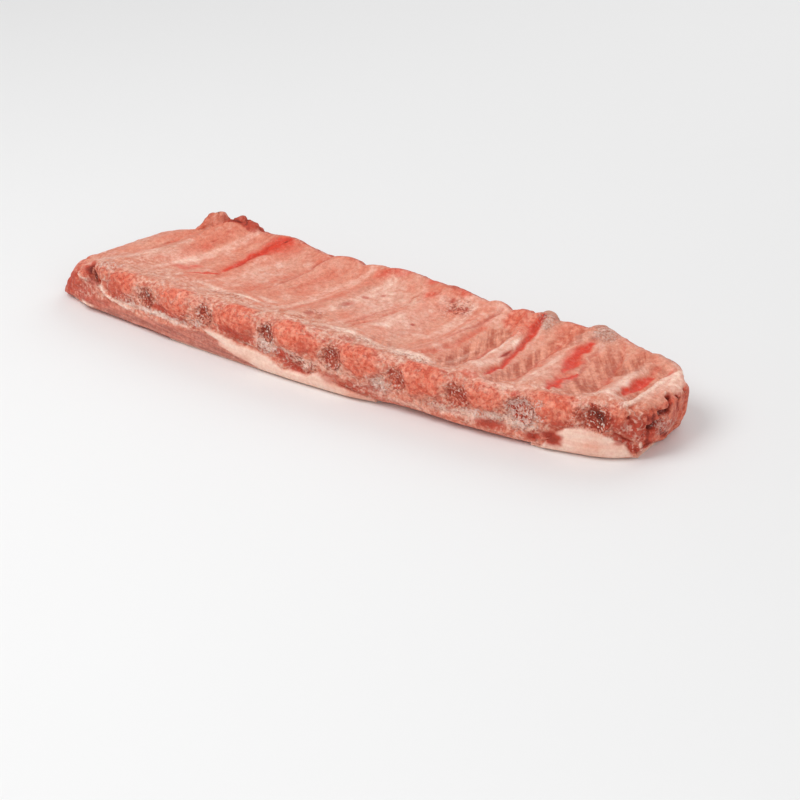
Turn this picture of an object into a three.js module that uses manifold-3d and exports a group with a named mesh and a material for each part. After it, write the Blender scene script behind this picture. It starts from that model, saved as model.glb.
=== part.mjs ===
// A raw rack of pork back ribs, lying on its meaty side with the bone side up.
// The rib bones run through the meat from the sawn near edge to the trimmed far edge,
// and two pads of outer fat lie under it and show along the sawn edge.
// Millimetres, +Z up, +X along the rack towards its blunt end, -Y towards the sawn edge.
import * as THREE from "three";
import { mergeVertices } from "three/addons/utils/BufferGeometryUtils.js";
import Module from "manifold-3d";

// Plan of the rack. Each list runs along the rack, one entry for each place along it:
// the left end, the nine ribs in order, and the right end.
const NEAR_X = [-184, -173, -138, -102, -66, -30, 4, 35, 66, 100, 117];
const NEAR_Y = [9, 3, -4, -8, -10.5, -12, -12, -12, -10, -4, 4];
const FAR_X = [-152.3, -133, -100, -68, -39, -9, 18, 44, 72, 103, 121];
const FAR_Y = [64.8, 73.2, 74.3, 70, 72.7, 70.1, 66, 65.5, 63.9, 54.8, 47.8];
const NEAR_TOP = [18, 25.5, 27, 29, 30, 28.5, 26.5, 27, 27, 29.5, 28];
const NEAR_FOOT = [2, 2, 1, 0.5, 0.5, 1, 4, 3, 2.5, 0.5, 1];
const FAR_TOP = [23.5, 28, 29.5, 29.5, 29.5, 29.5, 29.3, 29.3, 30, 29.3, 26.5];
const PLAN_CENTRE = new THREE.Vector3(35.7, -32.55, 0);

// Cross-section.
const TROUGH_DEPTH = [-2.5, 4, 7, 8, 8, 8, 8, 8, 7.5, 6, 1.5];
const TROUGH_POWER = 2.4;
const TROUGH_SKEW = 1.35;
const FAR_FOOT = 8;
const BELLY_SAG = 9;
const NEAR_TOP_RADIUS = 6;
const NEAR_FOOT_RADIUS = 5;
const FAR_RADIUS = 7;

// Ends: how far each bulges, and how far its foot stands out beyond its crest. The left
// end's near foot is splayed as well, up to a place along the rack.
const LEFT_END = { bulge: 9, slant: 11, splay: 7 };
const RIGHT_END = { bulge: 6, slant: -1 };
const END_POWER = 5;
const SPLAY_END = 2;

// Relief of the bone side.
const RIDGE_HEIGHT = [0, 1.2, 1.2, 1.2, 1.4, 1.6, 1.9, 2.3, 2.5, 2.3, 0];
const RIDGE_HALF_WIDTH = 0.25;
const RIDGE_START = 0.02;
const RIDGE_FULL = 0.2;
const NOTCHES = [1.15, 2.85, 3.4, 3.85, 4.95, 5.85, 6.3, 6.75, 7.2, 7.75, 8.95, 10];
const SCALLOP_REACH = [2.2, 3.6, 1.6, 2.6, 1.8, 2.5, 2, 2.8, 2, 3, 3.8];
const SCALLOP_RISE = [0.8, 0.6, 1.2, 0.6, 1.6, 0.2, 0.8, 0.8, 0.6, 1.4, 2.4];
const ARCH_POWER = 2.2;
const SCALLOP_POWER = 6;
const EAR = { place: 0.52, width: 0.17, power: 4, reach: 4.5, rise: 7.8, from: 0.84 };
const FLAP = { place: 1.07, width: 0.35, power: 2.3, reach: 4.8, rise: 4, from: 0.6 };
const LOBE_FULL = 0.9;
const TUCK_START = 0.5;

// Rib bones: the sawn end of each is taller than its run through the meat.
const BONE_WIDTH = [7.5, 8.5, 9, 8.5, 11, 10.5, 12, 13, 14];
const BONE_SAWN_HEIGHT = [10, 10, 9.5, 9.5, 12.5, 12.5, 12.5, 13, 14];
const BONE_HEIGHT = 8;
const BONE_TAPER = 0.4;
const BONE_COVER = 2.4;
const BONE_STOP = 9;
const BONE_OVERSHOOT = 6;
const BARE_KNOBS = [7, 8];
const FIT_GAP = 0.3;

// Pads of outer fat, each between two places along the rack.
const FAT_PADS = [
  { name: "outer_fat_left", from: 2.3, to: 5.7, peak: 3.5, thick: 13 },
  { name: "outer_fat_right", from: 8.1, to: 10.2, peak: 9.1, thick: 10.5 },
];
const FAT_REACH = 0.8;
const FAT_EDGE = 1;
const FAT_EDGE_DIP = 3;
const PAD_OVERHANG = 0.14;
const PAD_LOWEST = -5;
const PAD_BASE = -6;

// Fineness of the faceted skins.
const MERGE_TOLERANCE = 1e-4;
const STEPS_PER_RIB = 8;
const TOP_STEPS = 12;
const BELLY_STEPS = 7;
const WALL_STEPS = 3;
const ROUND_STEPS = 2;
const CAP_SCALES = [0.97, 0.88, 0.68, 0.36];
const BONE_STEPS = 6;
const BONE_SIDES = 8;
const PAD_STEPS = 16;
const PAD_ACROSS_STEPS = 11;

const MATERIALS = {
  meat: new THREE.MeshStandardMaterial({ color: 0xd0705c, roughness: 0.5 }),
  bone: new THREE.MeshStandardMaterial({ color: 0x8a4238, roughness: 0.7 }),
  fat: new THREE.MeshStandardMaterial({ color: 0xeebfa8, roughness: 0.45 }),
};

const wasm = await Module();
wasm.setup();

const PLACES = NEAR_X.length - 1;
const UP = new THREE.Vector3(0, 0, 1);

// A smooth curve of one value along the rack.
function along(values) {
  const points = values.map((value) => new THREE.Vector3(value, 0, 0));
  const curve = new THREE.CatmullRomCurve3(points, false, "catmullrom", 0.5);
  return (place) => curve.getPoint(THREE.MathUtils.clamp(place / PLACES, 0, 1)).x;
}

const nearX = along(NEAR_X);
const nearY = along(NEAR_Y);
const farX = along(FAR_X);
const farY = along(FAR_Y);
const nearTop = along(NEAR_TOP);
const nearFoot = along(NEAR_FOOT);
const farTop = along(FAR_TOP);
const troughDepth = along(TROUGH_DEPTH);
const ridgeHeight = along(RIDGE_HEIGHT);

// A bell-shaped bump of height 1 at one place along the rack. A higher power gives it a
// flatter top and steeper sides.
function bump(place, centre, width, power = 2) {
  return Math.exp(-(Math.abs((place - centre) / width) ** power));
}

// The arch between the two notches on both sides of a place: 0 at the notches, and as high
// as its entry in the middle.
function arch(place, heights) {
  const i = NOTCHES.findIndex((notch) => place < notch) - 1;
  if (i < 0) return 0;
  const t = (place - NOTCHES[i]) / (NOTCHES[i + 1] - NOTCHES[i]);
  return heights[i] * (1 - Math.abs(2 * t - 1) ** ARCH_POWER);
}

// How far the far edge stands out: its arches, and the ear and the flap.
function scallopReach(place) {
  let sum = arch(place, SCALLOP_REACH);
  for (const lobe of [EAR, FLAP]) {
    sum += lobe.reach * bump(place, lobe.place, lobe.width, lobe.power);
  }
  return sum;
}

// How far the bone side rises with them. The ear and the flap each rise from their own
// share of the way across.
function scallopRise(place, share) {
  let sum = arch(place, SCALLOP_RISE) * share ** SCALLOP_POWER;
  for (const lobe of [EAR, FLAP]) {
    const risen = lobe.rise * THREE.MathUtils.smoothstep(share, lobe.from, LOBE_FULL);
    sum += risen * bump(place, lobe.place, lobe.width, lobe.power);
  }
  return sum;
}

// The line across the rack at one place: where it starts, its direction and its length.
function ruling(place) {
  const start = new THREE.Vector3(nearX(place), nearY(place), 0);
  const end = new THREE.Vector3(farX(place), farY(place), 0);
  const direction = end.clone().sub(start).normalize();
  const length = end.distanceTo(start) + scallopReach(place);
  return { start, direction, length };
}

// Height of the bone side: a trough between its two edges, deepest beyond the middle,
// with a ridge over each rib.
function topHeight(place, share) {
  const edge = THREE.MathUtils.lerp(nearTop(place), farTop(place), share);
  const skewed = share ** TROUGH_SKEW;
  const trough = troughDepth(place) * (1 - Math.abs(2 * skewed - 1) ** TROUGH_POWER);
  const ridge = ridgeHeight(place) * bump(place, Math.round(place), RIDGE_HALF_WIDTH);
  const rise = scallopRise(place, share);
  return edge + rise - trough + ridge * THREE.MathUtils.smoothstep(share, RIDGE_START, RIDGE_FULL);
}

// Height of the meaty side, which sags to a flat belly at height 0.
function bottomHeight(place, share) {
  const edge = THREE.MathUtils.lerp(nearFoot(place), FAR_FOOT, share);
  const sag = BELLY_SAG * (1 - Math.abs(2 * share - 1) ** 2);
  return Math.max(0, edge - sag);
}

// Points of a quarter circle about (across, height), turning from one angle to another.
function arc(across, height, radius, fromDegrees, toDegrees) {
  return Array.from({ length: ROUND_STEPS }, (_, i) => {
    const share = (i + 0.5) / ROUND_STEPS;
    const angle = THREE.MathUtils.degToRad(THREE.MathUtils.lerp(fromDegrees, toDegrees, share));
    return [across + radius * Math.cos(angle), height + radius * Math.sin(angle)];
  });
}

// Height as a share of the higher one of the rack's two edges, at most 1.
function heightShare(place, height) {
  return Math.min(1, height / Math.max(nearTop(place), farTop(place)));
}

// How far a point at that share of the height is pushed along the rack, so that the ends
// slant.
function slant(place, lift) {
  const left = LEFT_END.slant * THREE.MathUtils.smoothstep(1 - place, 0, 1);
  const right = RIGHT_END.slant * THREE.MathUtils.smoothstep(place - PLACES + 1, 0, 1);
  return (right - left) * (1 - lift);
}

// How far a low point is drawn towards the near side: under the scallops, which overhang
// it, and at the near foot of the left end, which stands out.
function tuck(place, share, lift) {
  const { smoothstep } = THREE.MathUtils;
  const under = scallopReach(place) * smoothstep(share, TUCK_START, 1);
  const near = smoothstep(TUCK_START - share, 0, TUCK_START);
  const splay = LEFT_END.splay * smoothstep(SPLAY_END - place, 0, SPLAY_END) * near;
  return (under + splay) * (1 - lift);
}

// One closed cross-section, from the near top edge over to the far side and back underneath.
function section(place) {
  const { start, direction, length } = ruling(place);
  const farAcross = length - FAR_RADIUS;
  const flat = [];
  for (let i = 0; i <= TOP_STEPS; i += 1) {
    const across = THREE.MathUtils.lerp(NEAR_TOP_RADIUS, farAcross, i / TOP_STEPS);
    flat.push([across, topHeight(place, across / length)]);
  }
  const farCrest = topHeight(place, farAcross / length) - FAR_RADIUS;
  const farBase = bottomHeight(place, farAcross / length) + FAR_RADIUS;
  flat.push(...arc(farAcross, farCrest, FAR_RADIUS, 90, 0));
  flat.push(...arc(farAcross, farBase, FAR_RADIUS, 0, -90));
  for (let i = 0; i <= BELLY_STEPS; i += 1) {
    const across = THREE.MathUtils.lerp(farAcross, NEAR_FOOT_RADIUS, i / BELLY_STEPS);
    flat.push([across, bottomHeight(place, across / length)]);
  }
  const footHeight = bottomHeight(place, NEAR_FOOT_RADIUS / length) + NEAR_FOOT_RADIUS;
  const crestHeight = topHeight(place, NEAR_TOP_RADIUS / length) - NEAR_TOP_RADIUS;
  flat.push(...arc(NEAR_FOOT_RADIUS, footHeight, NEAR_FOOT_RADIUS, -90, -180));
  for (let i = 0; i <= WALL_STEPS; i += 1) {
    flat.push([0, THREE.MathUtils.lerp(footHeight, crestHeight, i / WALL_STEPS)]);
  }
  flat.push(...arc(NEAR_TOP_RADIUS, crestHeight, NEAR_TOP_RADIUS, 180, 90));
  const side = direction.clone().cross(UP);
  return flat.map(([across, height]) => {
    const lift = heightShare(place, height);
    return start
      .clone()
      .addScaledVector(direction, across - tuck(place, across / length, lift))
      .addScaledVector(side, slant(place, lift))
      .setZ(height);
  });
}

// Closed skin over a row of equal rings, shut by one point at each end.
function skin(rings, firstPole, lastPole) {
  const count = rings[0].length;
  const positions = [...rings.flat(), firstPole, lastPole].flatMap((p) => p.toArray());
  const indices = [];
  for (let ring = 0; ring + 1 < rings.length; ring += 1) {
    for (let i = 0; i < count; i += 1) {
      const a = ring * count + i;
      const b = ring * count + ((i + 1) % count);
      indices.push(a, a + count, b + count, a, b + count, b);
    }
  }
  const first = rings.length * count;
  const lastRing = (rings.length - 1) * count;
  for (let i = 0; i < count; i += 1) {
    const next = (i + 1) % count;
    indices.push(first, i, next);
    indices.push(first + 1, lastRing + next, lastRing + i);
  }
  const geometry = new THREE.BufferGeometry();
  geometry.setAttribute("position", new THREE.Float32BufferAttribute(positions, 3));
  geometry.setIndex(indices);
  return geometry;
}

// The average point of a ring.
function middleOf(ring) {
  return ring.reduce((sum, p) => sum.add(p), new THREE.Vector3()).divideScalar(ring.length);
}

// Rings that close a rounded end: each is the end section drawn in towards its middle.
function capRings(ring, outward, bulge) {
  const middle = middleOf(ring);
  const rings = CAP_SCALES.map((scale) =>
    ring.map((p) =>
      middle
        .clone()
        .lerp(p, scale)
        .addScaledVector(outward, bulge * (1 - scale ** END_POWER)),
    ),
  );
  return { rings, pole: middle.clone().addScaledVector(outward, bulge) };
}

// The outer skin of the whole rack.
function rackSkin() {
  const rings = [];
  for (let i = 0; i <= PLACES * STEPS_PER_RIB; i += 1) {
    rings.push(section(i / STEPS_PER_RIB));
  }
  const leftOut = ruling(0).direction.clone().cross(UP).negate();
  const rightOut = ruling(PLACES).direction.clone().cross(UP);
  const left = capRings(rings[0], leftOut, LEFT_END.bulge);
  const right = capRings(rings[rings.length - 1], rightOut, RIGHT_END.bulge);
  return skin([...left.rings.reverse(), ...rings, ...right.rings], left.pole, right.pole);
}

// An oval rod under the ridge of one rib, wider all round by the given gap.
function ribRod(rib, gap) {
  const { start, direction, length } = ruling(rib);
  const side = direction.clone().cross(UP);
  const farEnd = BARE_KNOBS.includes(rib) ? BONE_OVERSHOOT : -BONE_STOP;
  const halfWidth = BONE_WIDTH[rib - 1] / 2;
  const rings = [];
  for (let i = 0; i <= BONE_STEPS; i += 1) {
    const across = THREE.MathUtils.lerp(-BONE_OVERSHOOT - gap, length + farEnd + gap, i / BONE_STEPS);
    const share = THREE.MathUtils.clamp(across / length, NEAR_TOP_RADIUS / length, 1);
    const sawn = 1 - THREE.MathUtils.smoothstep(share, 0, BONE_TAPER);
    const halfHeight = THREE.MathUtils.lerp(BONE_HEIGHT, BONE_SAWN_HEIGHT[rib - 1], sawn) / 2;
    const height = topHeight(rib, share) - BONE_COVER - halfHeight;
    const centre = start.clone().addScaledVector(direction, across).setZ(height);
    rings.push(
      Array.from({ length: BONE_SIDES }, (_, j) => {
        const angle = (2 * Math.PI * j) / BONE_SIDES;
        return centre
          .clone()
          .addScaledVector(side, (halfWidth + gap) * Math.cos(angle))
          .addScaledVector(UP, (halfHeight + gap) * Math.sin(angle));
      }),
    );
  }
  return skin(rings, middleOf(rings[0]), middleOf(rings[BONE_STEPS]));
}

// Thickness of a fat pad above the meaty side, dipping below it around the pad.
function padThickness(pad, place, share) {
  const halfLength = place < pad.peak ? pad.peak - pad.from : pad.to - pad.peak;
  const off = (place - pad.peak) / halfLength;
  const reach = Math.max(0, share) / FAT_REACH;
  const thickness = pad.thick * (1 - off ** 2 - reach ** 2);
  return thickness > FAT_EDGE ? thickness : FAT_EDGE - FAT_EDGE_DIP * (FAT_EDGE - thickness);
}

// A block under a domed face: what it shares with the rack is one fat pad.
function padBlock(pad, gap) {
  const rings = [];
  for (let i = 0; i <= PAD_STEPS; i += 1) {
    const place = THREE.MathUtils.lerp(pad.from, pad.to, i / PAD_STEPS);
    const { start, direction, length } = ruling(place);
    const dome = [];
    const base = [];
    for (let j = 0; j <= PAD_ACROSS_STEPS; j += 1) {
      const share = THREE.MathUtils.lerp(-PAD_OVERHANG, 1, j / PAD_ACROSS_STEPS);
      const point = start.clone().addScaledVector(direction, share * length);
      const skinHeight = bottomHeight(place, Math.max(0, share));
      const height = Math.max(PAD_LOWEST, skinHeight + padThickness(pad, place, share));
      dome.push(point.clone().setZ(height + gap));
      base.push(point.clone().setZ(PAD_BASE));
    }
    rings.push([...dome, ...base.reverse()]);
  }
  return skin(rings, middleOf(rings[0]), middleOf(rings[PAD_STEPS]));
}

// A geometry as a solid that can be cut.
function solidOf(geometry) {
  const merged = mergeVertices(geometry, MERGE_TOLERANCE);
  return new wasm.Manifold(
    new wasm.Mesh({
      numProp: 3,
      vertProperties: merged.attributes.position.array,
      triVerts: new Uint32Array(merged.index.array),
    }),
  );
}

// The solid without the loose scraps that a cut can leave.
function mainBody(solid) {
  return solid.decompose().reduce((a, b) => (a.volume() > b.volume() ? a : b));
}

// One named piece of the rack.
function meshOf(solid, name, material) {
  const { vertProperties, triVerts } = mainBody(solid).getMesh();
  const geometry = new THREE.BufferGeometry();
  geometry.setAttribute("position", new THREE.BufferAttribute(vertProperties, 3));
  geometry.setIndex(new THREE.BufferAttribute(triVerts, 1));
  geometry.computeVertexNormals();
  const mesh = new THREE.Mesh(geometry, material);
  mesh.name = name;
  mesh.position.copy(PLAN_CENTRE);
  return mesh;
}

function buildRack() {
  const rack = new THREE.Group();
  rack.name = "pork_rib_rack";
  const whole = solidOf(rackSkin());
  let meat = whole;
  FAT_PADS.forEach((pad) => {
    const fat = whole.intersect(solidOf(padBlock(pad, 0)));
    meat = meat.subtract(solidOf(padBlock(pad, FIT_GAP)));
    rack.add(meshOf(fat, pad.name, MATERIALS.fat));
  });
  for (let rib = 1; rib < PLACES; rib += 1) {
    const bone = whole.intersect(solidOf(ribRod(rib, 0)));
    meat = meat.subtract(solidOf(ribRod(rib, FIT_GAP)));
    rack.add(meshOf(bone, `rib_bone_${rib}`, MATERIALS.bone));
  }
  rack.add(meshOf(meat, "meat", MATERIALS.meat));
  return rack;
}

export default buildRack();
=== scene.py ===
"""A raw rack of pork back ribs, lying on its meaty side with the bone side up.

Each surface is worked out with numpy from the rack's named sizes. A place runs along
the rack: 0 is the left end, 1 to 9 are the ribs and 10 is the right end. A share runs
across it, from 0 at the sawn edge to 1 at the trimmed edge. Metres, +Z up.
"""

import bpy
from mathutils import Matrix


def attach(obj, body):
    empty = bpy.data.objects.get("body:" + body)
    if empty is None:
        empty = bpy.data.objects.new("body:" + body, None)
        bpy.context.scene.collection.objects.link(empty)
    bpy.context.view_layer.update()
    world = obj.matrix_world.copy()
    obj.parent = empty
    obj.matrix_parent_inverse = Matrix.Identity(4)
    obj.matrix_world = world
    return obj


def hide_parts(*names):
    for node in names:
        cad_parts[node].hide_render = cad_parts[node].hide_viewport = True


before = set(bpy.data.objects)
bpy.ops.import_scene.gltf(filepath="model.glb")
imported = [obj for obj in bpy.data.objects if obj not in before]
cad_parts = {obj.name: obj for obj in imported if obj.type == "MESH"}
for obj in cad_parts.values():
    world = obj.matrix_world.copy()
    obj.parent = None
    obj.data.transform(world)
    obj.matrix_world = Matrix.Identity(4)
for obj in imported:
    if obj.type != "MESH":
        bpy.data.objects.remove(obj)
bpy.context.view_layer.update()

import functools
import math
from types import SimpleNamespace

import bpy
import numpy as np
from mathutils import Vector

bl_info = {
    "name": "Rack of Pork Ribs",
    "version": (1, 0, 0),
    "blender": (4, 5, 0),
    "location": "View3D > Sidebar > Ribs",
    "description": "Raw rack of pork back ribs with its meat, bones, outer fat and frost",
    "category": "Add Mesh",
}

MM = 0.001


def mm(*values):
    """Lengths given in millimetres, as metres."""
    return np.array(values, float) * MM


# Plan of the rack, one entry for each place along it.
NEAR_X = mm(-184, -173, -138, -102, -66, -30, 4, 35, 66, 100, 117)
NEAR_Y = mm(9, 3, -4, -8, -10.5, -12, -12, -12, -10, -4, 4)
FAR_X = mm(-152.3, -133, -100, -68, -39, -9, 18, 44, 72, 103, 121)
FAR_Y = mm(64.8, 73.2, 74.3, 70, 72.7, 70.1, 66, 65.5, 63.9, 54.8, 47.8)
NEAR_TOP = mm(18, 25.5, 27, 29, 30, 28.5, 26.5, 27, 27, 29.5, 28)
NEAR_FOOT = mm(2, 2, 1, 0.5, 0.5, 1, 4, 3, 2.5, 0.5, 1)
FAR_TOP = mm(23.5, 28, 29.5, 29.5, 29.5, 29.5, 29.3, 29.3, 30, 29.3, 26.5)
PLAN_CENTRE = mm(35.7, -32.55, 0)
LAST_PLACE = len(NEAR_X) - 1

# Cross-section.
TROUGH_DEPTH = mm(-2.5, 4, 7, 8, 8, 8, 8, 8, 7.5, 6, 1.5)
TROUGH_POWER = 2.4
TROUGH_SKEW = 1.35
FAR_FOOT = 8 * MM
BELLY_SAG = 9 * MM
NEAR_TOP_RADIUS = 6 * MM
NEAR_FOOT_RADIUS = 5 * MM
FAR_RADIUS = 7 * MM
LEFT_END = {"bulge": 9 * MM, "slant": 11 * MM, "splay": 7 * MM}
RIGHT_END = {"bulge": 6 * MM, "slant": -1 * MM}
END_POWER = 5
CAP_SPACING = 1.5
CAP_SMALLEST = 0.04
SPLAY_END = 2

# Relief of the bone side that the solids have too.
RIDGE_HEIGHT = mm(0, 1.2, 1.2, 1.2, 1.4, 1.6, 1.9, 2.3, 2.5, 2.3, 0)
RIDGE_HALF_WIDTH = 0.25
RIDGE_FADE = (0.02, 0.2)
NOTCHES = (1.15, 2.85, 3.4, 3.85, 4.95, 5.85, 6.3, 6.75, 7.2, 7.75, 8.95, 10)
SCALLOP_REACH = mm(2.2, 3.6, 1.6, 2.6, 1.8, 2.5, 2, 2.8, 2, 3, 3.8)
SCALLOP_RISE = mm(0.8, 0.6, 1.2, 0.6, 1.6, 0.2, 0.8, 0.8, 0.6, 1.4, 2.4)
ARCH_POWER = 2.2
SCALLOP_POWER = 6
EAR = {"place": 0.52, "width": 0.17, "power": 4, "reach": 4.5 * MM, "rise": 7.8 * MM, "from": 0.84}
FLAP = {"place": 1.07, "width": 0.35, "power": 2.3, "reach": 4.8 * MM, "rise": 4 * MM, "from": 0.6}
LOBE_FULL = 0.9
TUCK_START = 0.5

# The bones' sawn faces: their depth inside the wall, and the pits in them.
FACE_DEPTH = 1.0 * MM
FACE_SMALLEST = 0.06
PIT_DEPTH = 0.8 * MM
PIT_GRAIN = 0.4 * MM

# Share of crusty, crumbled tissue beside the sawn edge.
CRUST = np.array([0.3, 0.5, 0.6, 0.75, 0.9, 0.95, 0.8, 0.5, 0.5, 0.6, 0.3])

# Rib bones and pads of outer fat.
BONE_WIDTH = mm(7.5, 8.5, 9, 8.5, 11, 10.5, 12, 13, 14)
BONE_SAWN_HEIGHT = mm(10, 10, 9.5, 9.5, 12.5, 12.5, 12.5, 13, 14)
BONE_HEIGHT = 8 * MM
BONE_TAPER = 0.4
BONE_COVER = 2.4 * MM
BONE_STOP = 9 * MM
BONE_DOME = 5 * MM
KNOB_STOP = 1 * MM
BARE_KNOBS = (7, 8)
WOBBLES = ((0.08, 2, 1), (0.06, 3, 2), (0.04, 5, 3))
FAT_PADS = {
    "outer_fat_left": {"from": 2.3, "to": 5.7, "peak": 3.5, "thick": 13 * MM},
    "outer_fat_right": {"from": 8.1, "to": 10.2, "peak": 9.1, "thick": 10.5 * MM},
}
FAT_REACH = 0.8
PAD_REACH = 0.965
PAD_THINNEST = 0.05 * MM
PAD_RIM = 1.6 * MM
PAD_PROUD = 0.12 * MM
PAD_INSET = 0.35 * MM
PAD_DOME_START = 2.4 * MM
PAD_OVERLAP = 0.6 * MM

# Fineness of the surfaces.
STATIONS = 360
CAP_RINGS = 32
BELLY_POINTS = 44
FOOT_POINTS = 6
FOOT_STEP = 0.15 * MM
WALL_POINTS = 37
CREST_POINTS = 12
TOP_POINTS = 92
FAR_POINTS = 26
BONE_SIDES = 56
BONE_RINGS = 26
END_RINGS = 16
DOME_RINGS = 10
PAD_STATIONS = 170
PAD_WALL_POINTS = 22
PAD_FOOT_POINTS = 10
PAD_FLOOR_POINTS = 40
PAD_DOME_POINTS = 42

# The skin's noise and fibres.
CREASE_SHARPNESS = 3.2
FIBRE_STRETCH = 9
FIBRE_LEAN = 0.67

# Materials: scale and detail of each noise, pitch and lean of each set of fibres.
MEAT_NOISES = ((60.0, 3.0), (240.0, 3.0), (520.0, 2.0), (1300.0, 2.0))
MEAT_FIBRES = ((330.0, 0.0), (290.0, 6.0), (420.0, 0.8))
MEAT_TONES = ((0.82, 0.66, 0.6, 1), (1.16, 1.26, 1.3, 1))
SPONGE_SCALE = 920.0
BUMP_DISTANCE = 0.0006

# Stage. Each light has a place, a size and a share of the key light's power.
FLOOR_HALF = 3.0
FLOOR_LEVEL = -0.2 * MM
LIGHTS = {
    "key": ((-0.35, -0.5, 0.9), 0.7, 1.0),
    "fill": ((0.7, -0.6, 0.5), 0.8, 0.3),
    "back": ((0.1, 0.8, 0.7), 0.8, 0.4),
}
CAMERA = {"azimuth": 29.5, "elevation": 30.0, "distance": 1.1, "focal": 2398 / 800 * 36}
SENSOR_WIDTH = 36


# ---- Curves along and across the rack

def along(values, place):
    """Value at each place: a Catmull-Rom curve through the list's entries, which stand at
    places 0, 1, 2 and so on, and carry on straight past both ends."""
    entries = np.concatenate([[2 * values[0] - values[1]], values, [2 * values[-1] - values[-2]]])
    place = np.clip(place, 0, len(values) - 1 - 1e-9)
    cell = np.floor(place).astype(int)
    t = place - cell
    a, b, c, d = (entries[cell + i] for i in range(4))
    return b + 0.5 * t * (c - a + t * (2 * a - 5 * b + 4 * c - d + t * (3 * b - a - 3 * c + d)))


def ramp(value, low, high):
    """Smoothstep: 0 below low, 1 above high, and 3t2 - 2t3 in between."""
    t = np.clip((value - low) / (high - low), 0, 1)
    return t * t * (3 - 2 * t)


def mix(a, b, share):
    """From a to b as share goes from 0 to 1."""
    return a + (b - a) * share


def bell(value, centre, width, power=2):
    """Bell-shaped bump of height 1: e to the power of minus a power of the distance in
    widths."""
    return np.exp(-(np.abs((value - centre) / width) ** power))


def most(*layers):
    """The largest of several layers at each point."""
    return functools.reduce(np.maximum, layers)


def at_bones(values, place):
    """Straight blend along the rack of values that stand at the nine bones."""
    return np.interp(place, np.arange(1, LAST_PLACE), values)


def arch(place, heights):
    """Arches of the far edge, one between each two notches: 0 at both notches and full in
    the middle, 1 less a power of the distance from the middle."""
    total = 0
    for start, end, height in zip(NOTCHES[:-1], NOTCHES[1:], heights):
        t = np.clip((place - start) / (end - start), 0, 1)
        total = total + height * (1 - np.abs(2 * t - 1) ** ARCH_POWER)
    return total


def scallop_reach(place):
    """How far the far edge stands out: its arches, and the bells of the ear and the flap."""
    total = arch(place, SCALLOP_REACH)
    for lobe in (EAR, FLAP):
        total = total + lobe["reach"] * bell(place, lobe["place"], lobe["width"], lobe["power"])
    return total


def scallop_rise(place, share):
    """How far the bone side rises near the far edge: its arches times a power of the
    share, and the bells of the ear and the flap, each from its own share on."""
    total = arch(place, SCALLOP_RISE) * share**SCALLOP_POWER
    for lobe in (EAR, FLAP):
        risen = lobe["rise"] * ramp(share, lobe["from"], LOBE_FULL)
        total = total + risen * bell(place, lobe["place"], lobe["width"], lobe["power"])
    return total


def ruling(place):
    """Line across the rack at each place: its near end, its direction and its length,
    which is the plan's distance plus the scallops."""
    start = np.stack([along(NEAR_X, place), along(NEAR_Y, place), 0 * place], -1)
    end = np.stack([along(FAR_X, place), along(FAR_Y, place), 0 * place], -1)
    distance = np.linalg.norm(end - start, axis=-1)
    direction = (end - start) / distance[..., None]
    return start + PLAN_CENTRE, direction, distance + scallop_reach(place)


def side_of(direction):
    """Level direction along the rack, square to the line across it."""
    return np.stack([direction[..., 1], -direction[..., 0], 0 * direction[..., 2]], -1)


def top_height(place, share):
    """Height of the bone side: a straight blend of its two edges, plus the scallops near
    the far edge, less a trough that is deepest beyond the middle, plus a bell-shaped ridge
    over each rib."""
    share = np.clip(share, 0, 1)
    edge = mix(along(NEAR_TOP, place), along(FAR_TOP, place), share)
    skewed = share**TROUGH_SKEW
    trough = along(TROUGH_DEPTH, place) * (1 - np.abs(2 * skewed - 1) ** TROUGH_POWER)
    ridge = along(RIDGE_HEIGHT, place) * bell(place, np.round(place), RIDGE_HALF_WIDTH)
    return edge + scallop_rise(place, share) - trough + ridge * ramp(share, *RIDGE_FADE)


def bottom_height(place, share):
    """Height of the meaty side: a straight blend of its two edges, less a parabola that
    sags to a flat belly at height 0."""
    edge = mix(along(NEAR_FOOT, place), FAR_FOOT, share)
    return np.maximum(0, edge - BELLY_SAG * (1 - (2 * share - 1) ** 2))


def pad_thickness(pad, place, share):
    """Thickness of a fat pad: one less the squares of the distances from its peak along
    the rack and from the near edge across it. It is below 0 outside the pad."""
    half = np.where(place < pad["peak"], pad["peak"] - pad["from"], pad["to"] - pad["peak"])
    return pad["thick"] * (1 - ((place - pad["peak"]) / half) ** 2 - (share / FAT_REACH) ** 2)


def height_share(place, height):
    """Height as a share of the higher one of the rack's two edges, at most 1."""
    return np.minimum(1, height / np.maximum(along(NEAR_TOP, place), along(FAR_TOP, place)))


def slant(place, lift):
    """How far a point at that share of the height is pushed along the rack, so that both
    ends slant: the low parts of the last ribs' width move outwards."""
    left = LEFT_END["slant"] * ramp(1 - place, 0, 1)
    right = RIGHT_END["slant"] * ramp(place - LAST_PLACE + 1, 0, 1)
    return (right - left) * (1 - lift)


def tuck(place, share, lift):
    """How far a low point is drawn towards the near side: under the scallops, which
    overhang it, and at the near foot of the left end, which stands out."""
    under = scallop_reach(place) * ramp(share, TUCK_START, 1)
    splay = ramp(SPLAY_END - place, 0, SPLAY_END) * ramp(TUCK_START - share, 0, TUCK_START)
    return (under + LEFT_END["splay"] * splay) * (1 - lift)


def on_plan(place, line, across, height):
    """Points of cross-sections from their distances across the rack and their heights:
    each stands that far along the line of its place, less its tuck, and its slant to the
    side. The line is what ruling returns. Returns points, places and shares."""
    start, direction, length = line
    share = across / length[:, None]
    lift = height_share(place, height)
    across = across - tuck(place, share, lift)
    points = (start[:, None] + direction[:, None] * across[..., None]
              + side_of(direction)[:, None] * slant(place, lift)[..., None])
    points[..., 2] = height
    return points, np.broadcast_to(place, share.shape), share


# ---- Noise

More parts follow.
